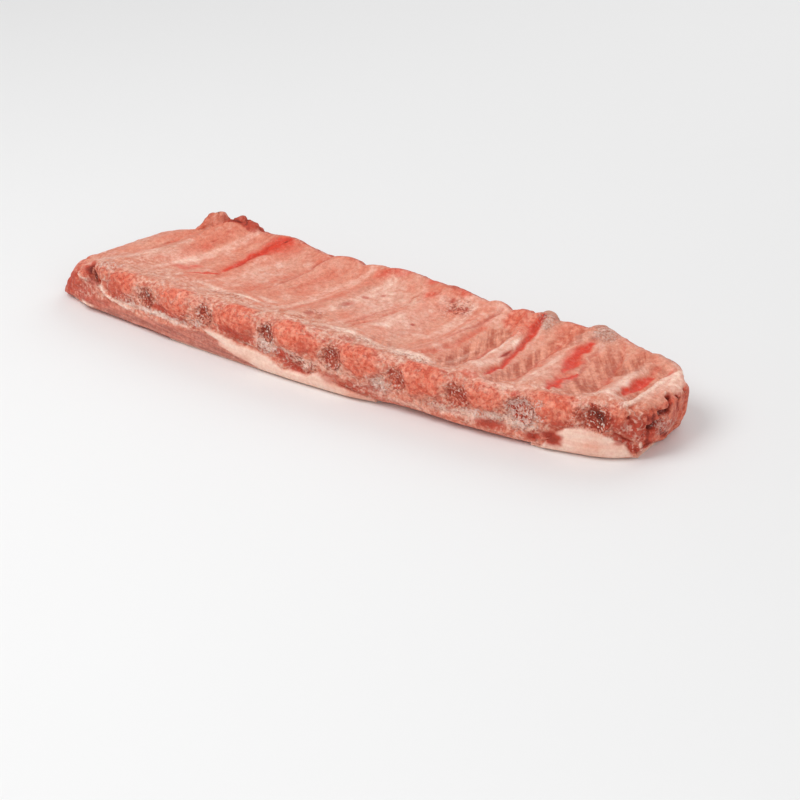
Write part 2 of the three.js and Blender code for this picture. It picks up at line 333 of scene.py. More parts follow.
def noise(points, size, seed):
    """Smooth noise from -1 to 1: random values on a cubic lattice of that size, blended
    across each cell by smoothstep weights."""
    count = 32
    table = np.random.default_rng(seed).uniform(-1, 1, (count, count, count))
    scaled = points / size
    cell = np.floor(scaled).astype(int)
    t = scaled - cell
    t = t * t * (3 - 2 * t)
    total = 0.0
    for corner in np.ndindex(2, 2, 2):
        weight = np.prod(np.where(corner, t, 1 - t), axis=-1)
        at = (cell + corner) % count
        total = total + weight * table[at[..., 0], at[..., 1], at[..., 2]]
    return total


def grain(points, size, seed, octaves=3):
    """Sum of noise at a size, its half, its quarter and so on, each half as strong."""
    total = 0.0
    for i in range(octaves):
        total = total + noise(points, size / 2**i, seed + i) / 2**i
    return total / (2 - 2 ** (1 - octaves))


def creases(points, size, seed, octaves=2):
    """Sharp-bottomed creases: 1 along the lines where the noise changes sign, 0 away."""
    return np.clip(1 - np.abs(grain(points, size, seed, octaves)) * CREASE_SHARPNESS, 0, 1)


# ---- Meshes

def make_piece(name, points, faces, material, masks=None):
    """Smooth mesh from an array of points and a list of face arrays. Each mask is kept as
    a float or vector attribute on the points."""
    mesh = bpy.data.meshes.new(name)
    points = points.reshape(-1, 3)
    mesh.vertices.add(len(points))
    mesh.vertices.foreach_set("co", points.astype(np.float32).ravel())
    corners = np.concatenate([f.ravel() for f in faces])
    sizes = np.concatenate([np.full(len(f), f.shape[1]) for f in faces])
    mesh.loops.add(len(corners))
    mesh.loops.foreach_set("vertex_index", corners.astype(np.int32))
    mesh.polygons.add(len(sizes))
    starts = np.concatenate([[0], np.cumsum(sizes)[:-1]])
    mesh.polygons.foreach_set("loop_start", starts.astype(np.int32))
    mesh.polygons.foreach_set("use_smooth", np.ones(len(sizes), bool))
    mesh.update(calc_edges=True)
    mesh.validate()
    for key, values in (masks or {}).items():
        flat = values.reshape(len(points), -1).astype(np.float32)
        kind, member = ("FLOAT_VECTOR", "vector") if flat.shape[1] == 3 else ("FLOAT", "value")
        mesh.attributes.new(key, kind, "POINT").data.foreach_set(member, flat.ravel())
    mesh.materials.append(material)
    piece = bpy.data.objects.new(name, mesh)
    bpy.context.scene.collection.objects.link(piece)
    return piece


def closed_faces(rings, count):
    """Faces of a closed skin: squares between each two rings of points, and a fan of
    triangles from the last ring at each end to that end's pole."""
    ring = np.arange(rings - 1)[:, None] * count
    i = np.arange(count)[None]
    j = (i + 1) % count
    squares = np.stack([ring + i, ring + count + i, ring + count + j, ring + j], -1).reshape(-1, 4)
    first = rings * count
    last = (rings - 1) * count
    i, j = i[0], j[0]
    near = np.stack([np.full(count, first), i, j], -1)
    far = np.stack([np.full(count, first + 1), last + j, last + i], -1)
    return [squares, near, far]


def with_poles(values):
    """A grid of values, with the average of its first and of its last ring added."""
    rings, count = values.shape[:2]
    flat = values.reshape(rings * count, -1)
    return np.concatenate([flat, flat[:count].mean(0)[None], flat[-count:].mean(0)[None]])


def above_floor(points):
    """The points, with none below the surface that the rack lies on."""
    return np.concatenate([points[..., :2], np.maximum(points[..., 2:], 0)], -1)


def make_skin(name, points, material, masks):
    """Closed piece from a grid of rings of points, with its masks."""
    return make_piece(name, with_poles(points), closed_faces(*points.shape[:2]), material,
                      {key: with_poles(values) for key, values in masks.items()})


def grid_normals(points):
    """Outward normals of a ring grid: the step from ring to ring crossed with the step
    round the ring."""
    forward = np.gradient(points, axis=0)
    around = np.roll(points, -1, 1) - np.roll(points, 1, 1)
    normal = np.cross(forward, around)
    return normal / np.maximum(np.linalg.norm(normal, axis=-1, keepdims=True), 1e-12)


# ---- The rack's skin

def even_places(count):
    """Places along the rack whose middles stand at even distances."""
    place = np.linspace(0, LAST_PLACE, 2001)
    start, direction, length = ruling(place)
    middle = start + direction * length[:, None] / 2
    run = np.concatenate([[0], np.cumsum(np.linalg.norm(np.diff(middle, axis=0), axis=1))])
    return np.interp(np.linspace(0, run[-1], count), run, place)


def quarter(count, first, last):
    """Angles inside a quarter turn, in radians."""
    share = (np.arange(count) + 0.5) / count
    return np.radians(mix(first, last, share))


def foot_angle(rise):
    """Angle round the near foot at which its curve is that high above the foot: -90
    degrees at the bottom and -180 where the wall begins."""
    return np.arcsin(1 - np.clip(rise / NEAR_FOOT_RADIUS, 0, 1)) - math.pi


def meat_floor(place, share):
    """Underside of the meat: the meaty side, lifted over the fat pads."""
    lift = np.zeros(np.broadcast(place, share).shape)
    for pad in FAT_PADS.values():
        lift = np.maximum(lift, pad_thickness(pad, place, share))
    return bottom_height(place, share) + lift, lift


def rack_grid():
    """Points of the skin on a grid of cross-sections by points round each. A section runs
    from the middle of the belly to the near foot, up the sawn wall, over the near crest,
    across the bone side, down the far side and back under. Returns points, places, shares."""
    place = even_places(STATIONS)[:, None]
    line = ruling(place[:, 0])
    length = line[2][:, None]
    far = length - FAR_RADIUS
    middle = 0.5 * length
    foot = bottom_height(place, NEAR_FOOT_RADIUS / length)
    cut = bottom_height(place, 0.0) + meat_floor(place, 0 * place)[1]
    turned = foot_angle(cut - foot)
    across, height = [], []

    def add(a, h):
        across.append(np.broadcast_to(a, (len(place), np.shape(a)[-1])))
        height.append(np.broadcast_to(h, (len(place), np.shape(h)[-1])))

    steps = np.linspace(0, 1, BELLY_POINTS // 2, endpoint=False)[None]
    a = mix(middle, NEAR_FOOT_RADIUS * (1 + np.cos(turned)), steps)
    add(a, meat_floor(place, a / length)[0])
    step = np.arange(FOOT_POINTS) + 0.2
    turn = mix(turned, -math.pi, step / FOOT_POINTS)
    add(NEAR_FOOT_RADIUS * (1 + np.cos(turn)),
        np.maximum(foot + NEAR_FOOT_RADIUS * (1 + np.sin(turn)), cut + FOOT_STEP * step))
    base = np.maximum(foot + NEAR_FOOT_RADIUS, cut + FOOT_STEP * FOOT_POINTS)
    crest = top_height(place, NEAR_TOP_RADIUS / length) - NEAR_TOP_RADIUS
    wall = mix(base, crest, np.linspace(0, 1, WALL_POINTS)[None])
    add(0 * wall, wall)
    turn = quarter(CREST_POINTS, 180, 90)
    add(NEAR_TOP_RADIUS * (1 + np.cos(turn)), crest + NEAR_TOP_RADIUS * np.sin(turn))
    a = mix(NEAR_TOP_RADIUS, far, np.linspace(0, 1, TOP_POINTS)[None])
    add(a, top_height(place, a / length))
    turn = quarter(FAR_POINTS // 2, 90, 0)
    far_crest = top_height(place, far / length) - FAR_RADIUS
    add(far + FAR_RADIUS * np.cos(turn), far_crest + FAR_RADIUS * np.sin(turn))
    far_base = meat_floor(place, far / length)[0] + FAR_RADIUS
    turn = quarter(FAR_POINTS // 2, 0, -90)
    add(far + FAR_RADIUS * np.cos(turn), far_base + FAR_RADIUS * np.sin(turn))
    steps = np.linspace(0, 1, BELLY_POINTS // 2)[None]
    a = mix(far, mix(middle, far, 1 / BELLY_POINTS), steps)
    add(a, meat_floor(place, a / length)[0])
    return on_plan(place, line, np.concatenate(across, 1), np.concatenate(height, 1))


def add_caps(points, place, share):
    """Adds rounded ends: each end section drawn in towards its middle by a scale that
    falls to a small share, and pushed out by the bulge times one less the scale's fifth
    power."""
    scales = (1 - np.linspace(0, 1, CAP_RINGS + 1)[1:] ** CAP_SPACING)[:, None, None]
    scales = mix(CAP_SMALLEST, 1, scales)
    ends = []
    for row, end, sign in ((0, LEFT_END, -1), (-1, RIGHT_END, 1)):
        out = side_of(ruling(place[row, 0])[1]) * sign
        drawn = mix(points[row].mean(0), points[row], scales)
        ends.append(drawn + out * end["bulge"] * (1 - scales**END_POWER))
    place, share = (np.concatenate([np.repeat(rows[:1], CAP_RINGS, 0), rows,
                                    np.repeat(rows[-1:], CAP_RINGS, 0)]) for rows in (place, share))
    return np.concatenate([ends[0][::-1], points, ends[1]]), place, share


# ---- Features of the surface

# Streaks of the bone side, by kind: how soft they are and, for each, its height or depth and its
# rows of share, place and half width in places. The creases and lines are sunk, and the colours
# also redden the creases and darken the lines as painted shade.
STREAKS = {
    "blood": (0.9, [
        (1, [(0.47, 2.1, 0.02), (0.55, 2.04, 0.035), (0.65, 1.98, 0.05), (0.74, 1.95, 0.07),
            (0.82, 1.97, 0.13), (0.89, 1.99, 0.15), (0.94, 2, 0.04)]),
        (1, [(0.29, 1.9, 0.01), (0.35, 2, 0.03), (0.43, 2.09, 0.01)]),
        (1, [(0.16, 7.24, 0.02), (0.34, 7.19, 0.025), (0.49, 7.14, 0.04), (0.61, 7.08, 0.05),
            (0.73, 7.03, 0.06), (0.87, 6.97, 0.06), (0.95, 6.95, 0.03)]),
        (1, [(0.14, 8.2, 0.03), (0.24, 8.18, 0.07), (0.34, 8.18, 0.06), (0.47, 8.24, 0.02)]),
        (1, [(0.43, 8.07, 0.03), (0.5, 8.05, 0.08), (0.6, 8.02, 0.1), (0.7, 8.01, 0.09),
            (0.8, 8.04, 0.04)]),
        (1, [(0.25, 9.18, 0.03), (0.35, 9.21, 0.1), (0.5, 9.24, 0.12), (0.6, 9.26, 0.08),
            (0.68, 9.28, 0.03)]),
    ]),
    "crease": (0.95, [
        (0.7, [(0.4, 2.13, 0.02), (0.52, 2.06, 0.06), (0.65, 1.99, 0.06), (0.86, 1.95, 0.06),
            (0.97, 1.96, 0.02)]),
        (0.6, [(0.26, 2.9, 0.02), (0.48, 2.75, 0.04), (0.61, 2.76, 0.05), (0.78, 2.81, 0.05),
            (0.95, 2.82, 0.03)]),
        (0.4, [(0.5, 3.3, 0.02), (0.72, 3.25, 0.06), (0.85, 3.3, 0.05), (0.96, 3.5, 0.02)]),
        (0.5, [(0.22, 4.72, 0.01), (0.45, 4.74, 0.03), (0.6, 4.79, 0.03), (0.77, 4.85, 0.03),
            (0.9, 4.98, 0.02)]),
        (0.4, [(0.33, 4.6, 0.01), (0.5, 4.62, 0.02), (0.69, 4.67, 0.02), (0.8, 4.72, 0.01)]),
        (0.9, [(0.08, 5.9, 0.02), (0.27, 6.08, 0.04), (0.41, 6.14, 0.05), (0.69, 6.18, 0.05),
            (0.9, 6.17, 0.03)]),
        (1.2, [(0.13, 7.24, 0.03), (0.34, 7.19, 0.05), (0.49, 7.14, 0.06), (0.73, 7.03, 0.07),
            (0.95, 6.96, 0.05)]),
        (0.6, [(0.1, 6.66, 0.02), (0.3, 6.73, 0.04), (0.5, 6.74, 0.04), (0.7, 6.72, 0.02)]),
        (1.1, [(0.12, 8.2, 0.04), (0.3, 8.18, 0.07), (0.5, 8.07, 0.08), (0.7, 8.02, 0.08),
            (0.84, 8.04, 0.05)]),
        (0.6, [(0.1, 7.62, 0.03), (0.4, 7.58, 0.05), (0.65, 7.58, 0.04), (0.8, 7.6, 0.02)]),
        (1, [(0.15, 9.2, 0.05), (0.4, 9.22, 0.1), (0.6, 9.26, 0.1), (0.8, 9.3, 0.06)]),
        (0.7, [(0.2, 8.7, 0.03), (0.45, 8.68, 0.05), (0.7, 8.62, 0.05), (0.88, 8.5, 0.03)]),
        (0.4, [(0.4, 0.72, 0.03), (0.48, 0.8, 0.06), (0.6, 0.62, 0.08), (0.7, 0.45, 0.03)]),
    ]),
    "line": (0.8, [
        (1, [(0.4, 3, 0.01), (0.5, 2.94, 0.018), (0.62, 2.9, 0.022), (0.74, 2.83, 0.026),
            (0.84, 2.83, 0.028), (0.93, 2.87, 0.02)]),
        (1, [(0.48, 2.12, 0.012), (0.6, 2.03, 0.018), (0.72, 1.95, 0.02), (0.84, 1.89, 0.02),
            (0.89, 1.92, 0.01)]),
        (1, [(0.26, 4.68, 0.01), (0.34, 4.73, 0.018), (0.5, 4.76, 0.02), (0.66, 4.74, 0.022),
            (0.8, 4.72, 0.012)]),
        (1, [(0.3, 4.58, 0.01), (0.45, 4.6, 0.016), (0.6, 4.62, 0.014)]),
        (1, [(0.12, 5.84, 0.014), (0.3, 5.9, 0.022), (0.52, 5.95, 0.026), (0.72, 6.1, 0.026),
            (0.9, 6.2, 0.02)]),
        (1, [(0.28, 7.2, 0.014), (0.5, 7.12, 0.022), (0.72, 7.02, 0.03), (0.92, 6.96, 0.026)]),
        (1, [(0.12, 6.62, 0.012), (0.3, 6.7, 0.02), (0.5, 6.73, 0.022), (0.68, 6.7, 0.014)]),
        (1, [(0.12, 7.6, 0.014), (0.36, 7.6, 0.022), (0.6, 7.58, 0.022), (0.8, 7.58, 0.014)]),
        (1, [(0.2, 8.74, 0.012), (0.42, 8.7, 0.02), (0.66, 8.62, 0.02), (0.82, 8.54, 0.014)]),
        (1, [(0.3, 0.9, 0.01), (0.42, 1, 0.02), (0.5, 1.16, 0.014)]),
        (1, [(0.44, 0.7, 0.012), (0.53, 0.62, 0.03), (0.62, 0.68, 0.03), (0.68, 0.86, 0.02)]),
        (1, [(0.16, 8.3, 0.014), (0.36, 8.28, 0.024), (0.56, 8.24, 0.024), (0.8, 8.2, 0.014)]),
    ]),
    "fold": (0.98, [
        (0.9, [(0.08, 6.98, 0.04), (0.2, 6.9, 0.12), (0.41, 6.84, 0.13), (0.61, 6.87, 0.12),
            (0.8, 6.8, 0.06)]),
        (1, [(0.05, 7.9, 0.05), (0.2, 7.84, 0.14), (0.4, 7.78, 0.15), (0.64, 7.76, 0.14),
            (0.88, 7.9, 0.1)]),
        (0.8, [(0.1, 9, 0.08), (0.3, 8.96, 0.16), (0.6, 8.98, 0.15), (0.8, 9.1, 0.08)]),
        (0.6, [(0.1, 5.7, 0.05), (0.27, 5.9, 0.12), (0.5, 5.97, 0.12), (0.8, 6, 0.08)]),
        (0.5, [(0.3, 4.85, 0.04), (0.5, 4.9, 0.1), (0.7, 4.98, 0.1), (0.9, 5.1, 0.05)]),
        (0.4, [(0.5, 2.95, 0.06), (0.7, 3, 0.14), (0.9, 3, 0.1)]),
    ]),
}

# Oval marks of the bone side, by kind: how ragged, blotchy and soft they are, and for each
# its place, share, half length in places, half width in shares, and strength.
TOP_OVALS = {
    "spots": (1, 0, 0.8, [
        (1.64, 0.36, 0.13, 0.03, 0.65), (1.72, 0.42, 0.07, 0.03, 0.6),
        (4.1, 0.93, 0.14, 0.04, 0.55), (3.93, 0.87, 0.12, 0.04, 0.4), (4.69, 0.93, 0.09, 0.03, 0.6),
        (4.91, 0.82, 0.1, 0.03, 0.4), (7.05, 0.1, 0.12, 0.03, 0.5), (9.7, 0.78, 0.08, 0.06, 0.6),
        (2.2, 0.86, 0.14, 0.06, 0.35), (7.88, 0.03, 0.04, 0.02, 0.8), (1.3, 0.64, 0.07, 0.03, 0.3),
        (5.35, 0.92, 0.1, 0.03, 0.5),
    ]),
    "window": (0.8, 0, 0.35, [
        (6.47, 0.4, 0.2, 0.32, 1), (6.55, 0.66, 0.26, 0.14, 0.9), (7.42, 0.32, 0.17, 0.24, 0.9),
        (7.43, 0.6, 0.13, 0.2, 0.9), (8.48, 0.3, 0.22, 0.2, 1), (8.45, 0.6, 0.2, 0.25, 0.8),
        (7.7, 0.82, 0.24, 0.1, 0.9), (8.85, 0.72, 0.25, 0.16, 0.85), (9.62, 0.28, 0.3, 0.28, 1),
        (9.55, 0.75, 0.25, 0.14, 0.7), (4.15, 0.5, 0.09, 0.07, 0.85), (5.33, 0.38, 0.07, 0.05, 0.7),
        (4.15, 0.26, 0.2, 0.04, 0.6), (4.51, 0.73, 0.05, 0.03, 0.6), (5.35, 0.22, 0.2, 0.05, 0.6),
        (4, 0.72, 0.08, 0.05, 0.5), (4.2, 0.44, 0.05, 0.03, 0.7),
    ]),
    "coral": (1, 0, 0.8, [
        (4.04, 0.9, 0.2, 0.05, 1), (4.9, 0.83, 0.13, 0.05, 0.8), (5.35, 0.88, 0.25, 0.1, 0.5),
        (5.9, 0.8, 0.25, 0.1, 0.45), (7.62, 0.8, 0.16, 0.12, 0.7), (3.6, 0.6, 0.3, 0.12, 0.3),
        (5.48, 0.79, 0.22, 0.05, 0.9),
    ]),
    "flap": (0.6, 0, 0.3, [
        (6.6, 0.87, 0.27, 0.11, 1), (6.85, 0.79, 0.13, 0.1, 0.9),
    ]),
    "pale": (1.1, 0, 0.7, [
        (3.15, 0.235, 0.33, 0.015, 0.9), (2.5, 0.26, 0.35, 0.02, 0.4), (4.8, 0.18, 0.25, 0.03, 0.9),
        (5.98, 0.15, 0.32, 0.035, 1), (5.3, 0.17, 0.16, 0.02, 0.7), (7.6, 0.08, 0.3, 0.03, 0.5),
        (9.05, 0.16, 0.3, 0.03, 0.6), (9.95, 0.74, 0.1, 0.14, 0.6), (4.4, 0.66, 0.32, 0.2, 0.3),
        (5.1, 0.5, 0.32, 0.22, 0.3), (2.45, 0.6, 0.25, 0.2, 0.25), (1.3, 0.45, 0.3, 0.1, 0.3),
        (6.84, 0.5, 0.05, 0.16, 0.5), (6.95, 0.62, 0.05, 0.03, 0.9), (0.45, 0.12, 0.3, 0.05, 0.5),
        (7.8, 0.45, 0.05, 0.2, 0.4), (9, 0.35, 0.1, 0.2, 0.5), (3.35, 0.3, 0.12, 0.02, 0.6),
    ]),
    "grey": (1, 0, 0.6, [
        (7.1, 0.9, 0.2, 0.09, 0.9), (8.12, 0.9, 0.22, 0.08, 0.9), (0.95, 0.53, 0.26, 0.1, 0.45),
        (9.4, 0.93, 0.3, 0.05, 0.7), (4.3, 0.62, 0.4, 0.2, 0.4), (1.6, 0.12, 0.3, 0.05, 0.3),
        (5.2, 0.5, 0.3, 0.2, 0.3), (2.5, 0.65, 0.3, 0.2, 0.25),
    ]),
    "dark": (1, 0, 0.6, [
        (7.03, 0.48, 0.03, 0.06, 0.8), (5.24, 0.53, 0.035, 0.01, 0.6),
        (2.01, 0.895, 0.025, 0.012, 0.9), (1.24, 0.7, 0.02, 0.01, 0.4),
        (6.72, 0.06, 0.1, 0.01, 0.4), (3.6, 0.97, 0.12, 0.02, 0.6), (4.6, 0.96, 0.2, 0.015, 0.5),
        (5.5, 0.96, 0.2, 0.02, 0.5), (4.15, 0.51, 0.05, 0.04, 0.4), (4.17, 0.63, 0.05, 0.015, 0.45),
        (4.31, 0.7, 0.03, 0.012, 0.45), (4.13, 0.25, 0.06, 0.03, 0.3),
        (4.62, 0.15, 0.06, 0.03, 0.3), (1.21, 0.8, 0.025, 0.01, 0.4), (5.1, 0.1, 0.1, 0.02, 0.35),
        (5.3, 0.84, 0.05, 0.02, 0.45), (5.5, 0.8, 0.04, 0.015, 0.45),
        (5.42, 0.77, 0.05, 0.015, 0.4), (5.62, 0.82, 0.04, 0.02, 0.4), (5.14, 0.93, 0.1, 0.03, 0.4),
    ]),
    "speckle": (1.3, 0, 0.7, [
        (5.5, 0.8, 0.22, 0.06, 0.8), (7.1, 0.9, 0.16, 0.07, 0.45), (8.12, 0.9, 0.18, 0.06, 0.45),
        (4.15, 0.3, 0.15, 0.03, 0.5), (6, 0.12, 0.3, 0.03, 0.6), (2.9, 0.2, 0.3, 0.03, 0.4),
        (5.2, 0.14, 0.2, 0.03, 0.5),
    ]),
}

# The same for the sawn wall, with heights and half heights in millimetres.
WALL_OVALS = {
    "lobes": (1.2, 0.35, 0.3, [
        (0.62, 18.5, 0.24, 5.5, 0.9), (1.55, 19, 0.19, 7, 0.9), (2.5, 21, 0.25, 6.5, 0.95),
        (3.52, 23, 0.31, 7, 1), (4.45, 23.5, 0.33, 7, 1), (5.42, 21.5, 0.32, 7, 1),
        (6.42, 21.5, 0.33, 7.5, 1), (7.43, 21, 0.3, 6, 1), (8.43, 22, 0.3, 7, 1),
        (9.45, 21, 0.22, 7, 0.7), (0.05, 10, 0.45, 9, 1),
    ]),
    "red": (0.8, 0, 0.4, [
        (4.24, 14, 0.09, 3.6, 1), (4.34, 11.2, 0.11, 3.6, 1), (4.47, 8.8, 0.13, 2.8, 1),
        (3.55, 15.6, 0.3, 3, 0.8), (0.5, 9, 0.7, 6, 0.8), (1.42, 19, 0.17, 4, 0.5),
        (3.7, 21, 0.12, 4, 0.4), (4.6, 21, 0.12, 4, 0.4), (8.55, 14, 0.2, 3, 0.7),
        (3.45, 17, 0.24, 2.4, 0.9), (2.27, 16.3, 0.2, 2.2, 0.8), (1.5, 15.5, 0.2, 2.4, 0.7),
        (9.5, 10.5, 0.3, 2.6, 0.9), (7.5, 7.6, 0.32, 3.2, 0.7), (5.36, 6.5, 0.3, 2.8, 0.8),
        (5.9, 4.5, 0.3, 2, 0.6), (2.4, 15, 0.2, 2, 0.6),
    ]),
    "dark": (1, 0, 0.5, [
        (3.42, 17.2, 0.16, 1.5, 0.4), (7.5, 7.6, 0.2, 2.2, 0.5), (8.18, 6.2, 0.1, 2.4, 0.6),
        (8.42, 7.6, 0.13, 3.6, 0.7), (2.27, 16.3, 0.12, 1.6, 0.4), (4.98, 9, 0.15, 2, 0.3),
        (2.62, 14, 0.12, 1.4, 0.3), (4.86, 27, 0.05, 1.2, 0.7), (7.86, 26.5, 0.04, 1.2, 0.8),
        (4.52, 8.2, 0.16, 1.2, 0.3), (5.62, 9.5, 0.12, 1.6, 0.35), (9.55, 9.5, 0.12, 1.3, 0.4),
    ]),
    "pale": (1.2, 0, 0.7, [
        (4.36, 16.6, 0.12, 1.2, 0.7), (4.52, 14.4, 0.1, 1.6, 0.6), (4.64, 11.5, 0.08, 2.6, 0.5),
        (5.7, 12, 0.13, 4, 0.6), (8, 11, 0.22, 2.4, 0.6), (7.1, 9.5, 0.45, 2, 0.6),
        (2.15, 12.3, 0.35, 1, 0.8), (2.55, 11.6, 0.25, 1.2, 0.8), (6.2, 6, 0.4, 2, 0.4),
        (7.7, 13, 0.22, 2.2, 0.6), (3.98, 17, 0.14, 4, 0.5), (5.05, 14, 0.2, 3, 0.3),
        (1.6, 11.5, 0.4, 0.9, 0.8), (6.2, 2.2, 1.3, 0.9, 0.6), (7.7, 2, 0.6, 0.9, 0.6),
        (9, 27, 0.3, 1.5, 0.4),
    ]),
    "frost": (1, 0, 0.8, [
        (8.05, 17, 0.28, 9, 1), (7.4, 12, 0.45, 2.6, 0.9), (4.64, 11.5, 0.16, 5, 0.3),
        (4, 15, 0.2, 5, 0.9), (5.75, 13, 0.22, 5, 0.8), (2.1, 12.6, 0.7, 2.2, 1),
        (6.6, 10, 0.45, 3, 0.6), (2.9, 14.5, 0.25, 3, 0.8), (2.2, 23, 0.7, 4, 0.5),
        (1.2, 20, 0.3, 5, 0.5), (3, 22, 0.25, 4, 0.5),
    ]),
    "speckle": (1.3, 0, 0.6, [
        (4.42, 15.5, 0.1, 2.4, 0.9), (4.55, 13, 0.11, 2.8, 0.95), (4.65, 9.8, 0.12, 3.4, 0.95),
        (3.95, 15, 0.14, 3.5, 0.7), (5.72, 12.5, 0.18, 4.5, 0.7), (6.75, 11, 0.35, 2.6, 0.6),
        (7.75, 13.5, 0.25, 3.5, 0.6), (8.1, 9.5, 0.25, 2.4, 0.6), (2.75, 16.5, 0.2, 3, 0.7),
        (1.75, 15.5, 0.2, 2.4, 0.7), (9.3, 15, 0.16, 4, 0.6), (0.85, 19.5, 0.12, 4, 0.5),
        (8.85, 16, 0.2, 4, 0.5),
    ]),
}

# Along the sawn edge, places and heights in millimetres: the upper edge of each pad's
# fat, the fat's lower edge above the mauve skin, and the mauve skin's own upper edge.
FAT_EDGES = [
    [(2.7, 0), (2.82, 12), (3.03, 14.2), (3.2, 14.2), (3.45, 13), (3.6, 11.2), (3.76, 11.8),
     (4.03, 10.4), (4.28, 6.2), (4.65, 7), (4.8, 10), (5, 7.5), (5.2, 5), (5.5, 2.5), (6, 0)],
    [(8.22, 0), (8.29, 3), (8.46, 10.7), (8.59, 13.2), (8.78, 14.9), (9.1, 13.4), (9.38, 11.1),
     (9.72, 7.5), (9.88, 3.5), (9.95, 0)],
]
SKIN_EDGE = [(2.7, 14), (2.9, 13.2), (3.03, 12.4), (3.39, 7.6), (3.68, 3.8), (3.95, 0)]
FOOT_SKIN_TOP = [(0.8, 7), (1.1, 9), (1.8, 8), (2.3, 8.5), (2.7, 10.5), (3.1, 12.5)]
SKIN_START = 2.9
# Places and the shares as far as which the crumbled band reaches.
CRUST_REACH = [(0, 0.5), (1, 0.45), (2.5, 0.32), (4, 0.3), (10, 0.3)]

# Marks at the ends: kind, radius, relief, and the path that each follows, in the plan's
# millimetres. The dark marks lie in sunk grooves, and their dark is painted shade in those
# crevices.
TRAILS = [
    ("dark", 1.8, -2.8, [(122.6, 26, 26), (122.4, 23.5, 24.2), (124.2, 22.4, 20.5)]),
    ("dark", 1.2, -1.8, [(123.7, 13, 20.9), (124.3, 22, 19.2)]),
    ("dark", 1.5, -2.8, [(121.6, 8.8, 15.1), (123.5, 12.1, 17.9)]),
    ("dark", 1.2, -2.2, [(112.6, 2.8, 21), (114.6, 4.6, 16.5), (117.2, 6.6, 12)]),
    ("dark", 0.9, -1.6, [(115.6, 5.6, 22.5), (117.6, 6.6, 17.5), (119.4, 8, 13)]),
    ("dark", 0.9, -1.4, [(119.4, 9, 23.5), (120.6, 9.6, 18.5)]),
    ("red", 5.5, 0, [(114.5, 4, 16), (119, 8, 14)]),
    ("dark", 0.7, -1.2, [(119, 8, 13.8), (119.1, 7.9, 10.5)]),
    ("dark", 0.7, -1, [(117.3, 7.3, 17.7), (120.3, 8.4, 18.6)]),
    ("dark", 1.3, -1.2, [(107.9, 0.1, 13.4), (111.3, 2.2, 10.6), (115.6, 5.4, 8.2)]),
    ("pale", 0.8, 0.8, [(111.1, 1.6, 19), (112.3, 2.6, 16), (115.3, 5, 11)]),
    ("pale", 1, 0.6, [(117.8, 5.6, 8), (119.2, 6.4, 4)]),
    ("pale", 1.5, 0.7, [(109.3, 3, 27), (112.5, 7.3, 27.2), (113, 24.8, 25), (114.6, 36, 25),
        (119, 44.2, 25.2)]),
    ("pale", 0.6, 0.7, [(119.7, 25, 25.4), (122.5, 19, 21.6), (121.9, 12.4, 18)]),
    ("red", 2.6, 0.6, [(106.3, -1.6, 20), (111.2, 2.2, 15.7), (115.9, 5.1, 11.8)]),
    ("red", 2.2, 0, [(111.3, 3, 8), (117.3, 5.4, 5)]),
    ("frost", 5, 0, [(124.3, 14.8, 15), (124.8, 27, 8)]),
    ("grey", 5, 0, [(124.3, 14.8, 15), (124.8, 27, 9), (121.3, 34, 7)]),
    ("lean", 5, 0, [(116, 7.1, 21), (122.7, 16, 22)]),
    ("lean", 4, 0, [(108, 0.5, 22), (114, 4.5, 20)]),
    ("lean", 3.5, 0, [(124.8, 32, 22), (124.8, 32, 12)]),
    ("dark", 3.3, -3.2, [(-177, 5.6, 22), (-175.2, 4.3, 20.5), (-171.8, 3.3, 18)]),
    ("pale", 0.9, 0.8, [(-184.5, 6, 17.8), (-180, 3.4, 16.6), (-173, 1.2, 15.6), (-167.5, 0.1, 15),
        (-164.5, 0.4, 12.4), (-158.3, -0.6, 10.6), (-151, -1.8, 9.8), (-146, -2.4, 9.4)]),
    ("pale", 0.8, 0.4, [(-180, 1.4, 4.2), (-173, 0.3, 3.8)]),
    ("frost", 4, 0, [(-169.7, 7, 24.6), (-162.7, 6.5, 25)]),
    ("red", 1.8, 0, [(112.4, 1.4, 4), (115.5, 4, 6.5), (118.2, 5.5, 5)]),
]

# Frost, spongy pores, dark hollows and pink rims of the nine sawn faces. The dark of each hollow is
# partly dark marrow and partly painted shade, and it also darkens the pocket in the meat round each
# face as painted shade.
RIME = (0, 0.1, 0.25, 0.25, 0.1, 0.15, 0.1, 0.75, 0)
SPONGE = (0.4, 0.85, 0.95, 0.95, 0.7, 0.6, 0.65, 0.85, 0.85)
DEEP = (1.3, 0.7, 0.3, 0.75, 0.45, 0.3, 0.35, 0.2, 1)
SHELL = (0.3, 0.6, 0.6, 0.6, 0.4, 0.35, 0.3, 0.5, 0.15)


def trail(points, path, radius, ragged, softness=0.4):
    """Mask of a mark that follows a path: it falls from 1 near the path to 0 past the
    radius. The distance is to the nearest of the path's straight pieces."""
    path = np.array(path) * MM + PLAN_CENTRE
    nearest = np.full(points.shape[:-1], np.inf)
    for start, end in zip(path[:-1], path[1:]):
        step = end - start
        passed = np.clip((points - start) @ step / (step @ step), 0, 1)
        away = np.linalg.norm(points - start - passed[..., None] * step, axis=-1)
        nearest = np.minimum(nearest, away)
    return 1 - ramp(nearest / (radius * MM) + ragged, 1 - softness, 1 + softness)


def streak(place, share, rows, softness):
    """Mask of one streak: its middle place and half width follow the rows by share, and
    the mask falls from 1 inside to 0 past the half width."""
    shares, centres, halves = np.transpose(rows)
    centre = np.interp(share, shares, centres)
    half = np.interp(share, shares, halves, left=0, right=0)
    gap = np.abs(place - centre) / np.maximum(half, 1e-4)
    return (1 - ramp(gap, 1 - softness, 1 + softness)) * ramp(half, 0, 0.015)


def strongest(place, share, softness, streaks):
    """The strongest of several streaks, each times its own height or depth."""
    return most(0, *(scale * streak(place, share, rows, softness) for scale, rows in streaks))


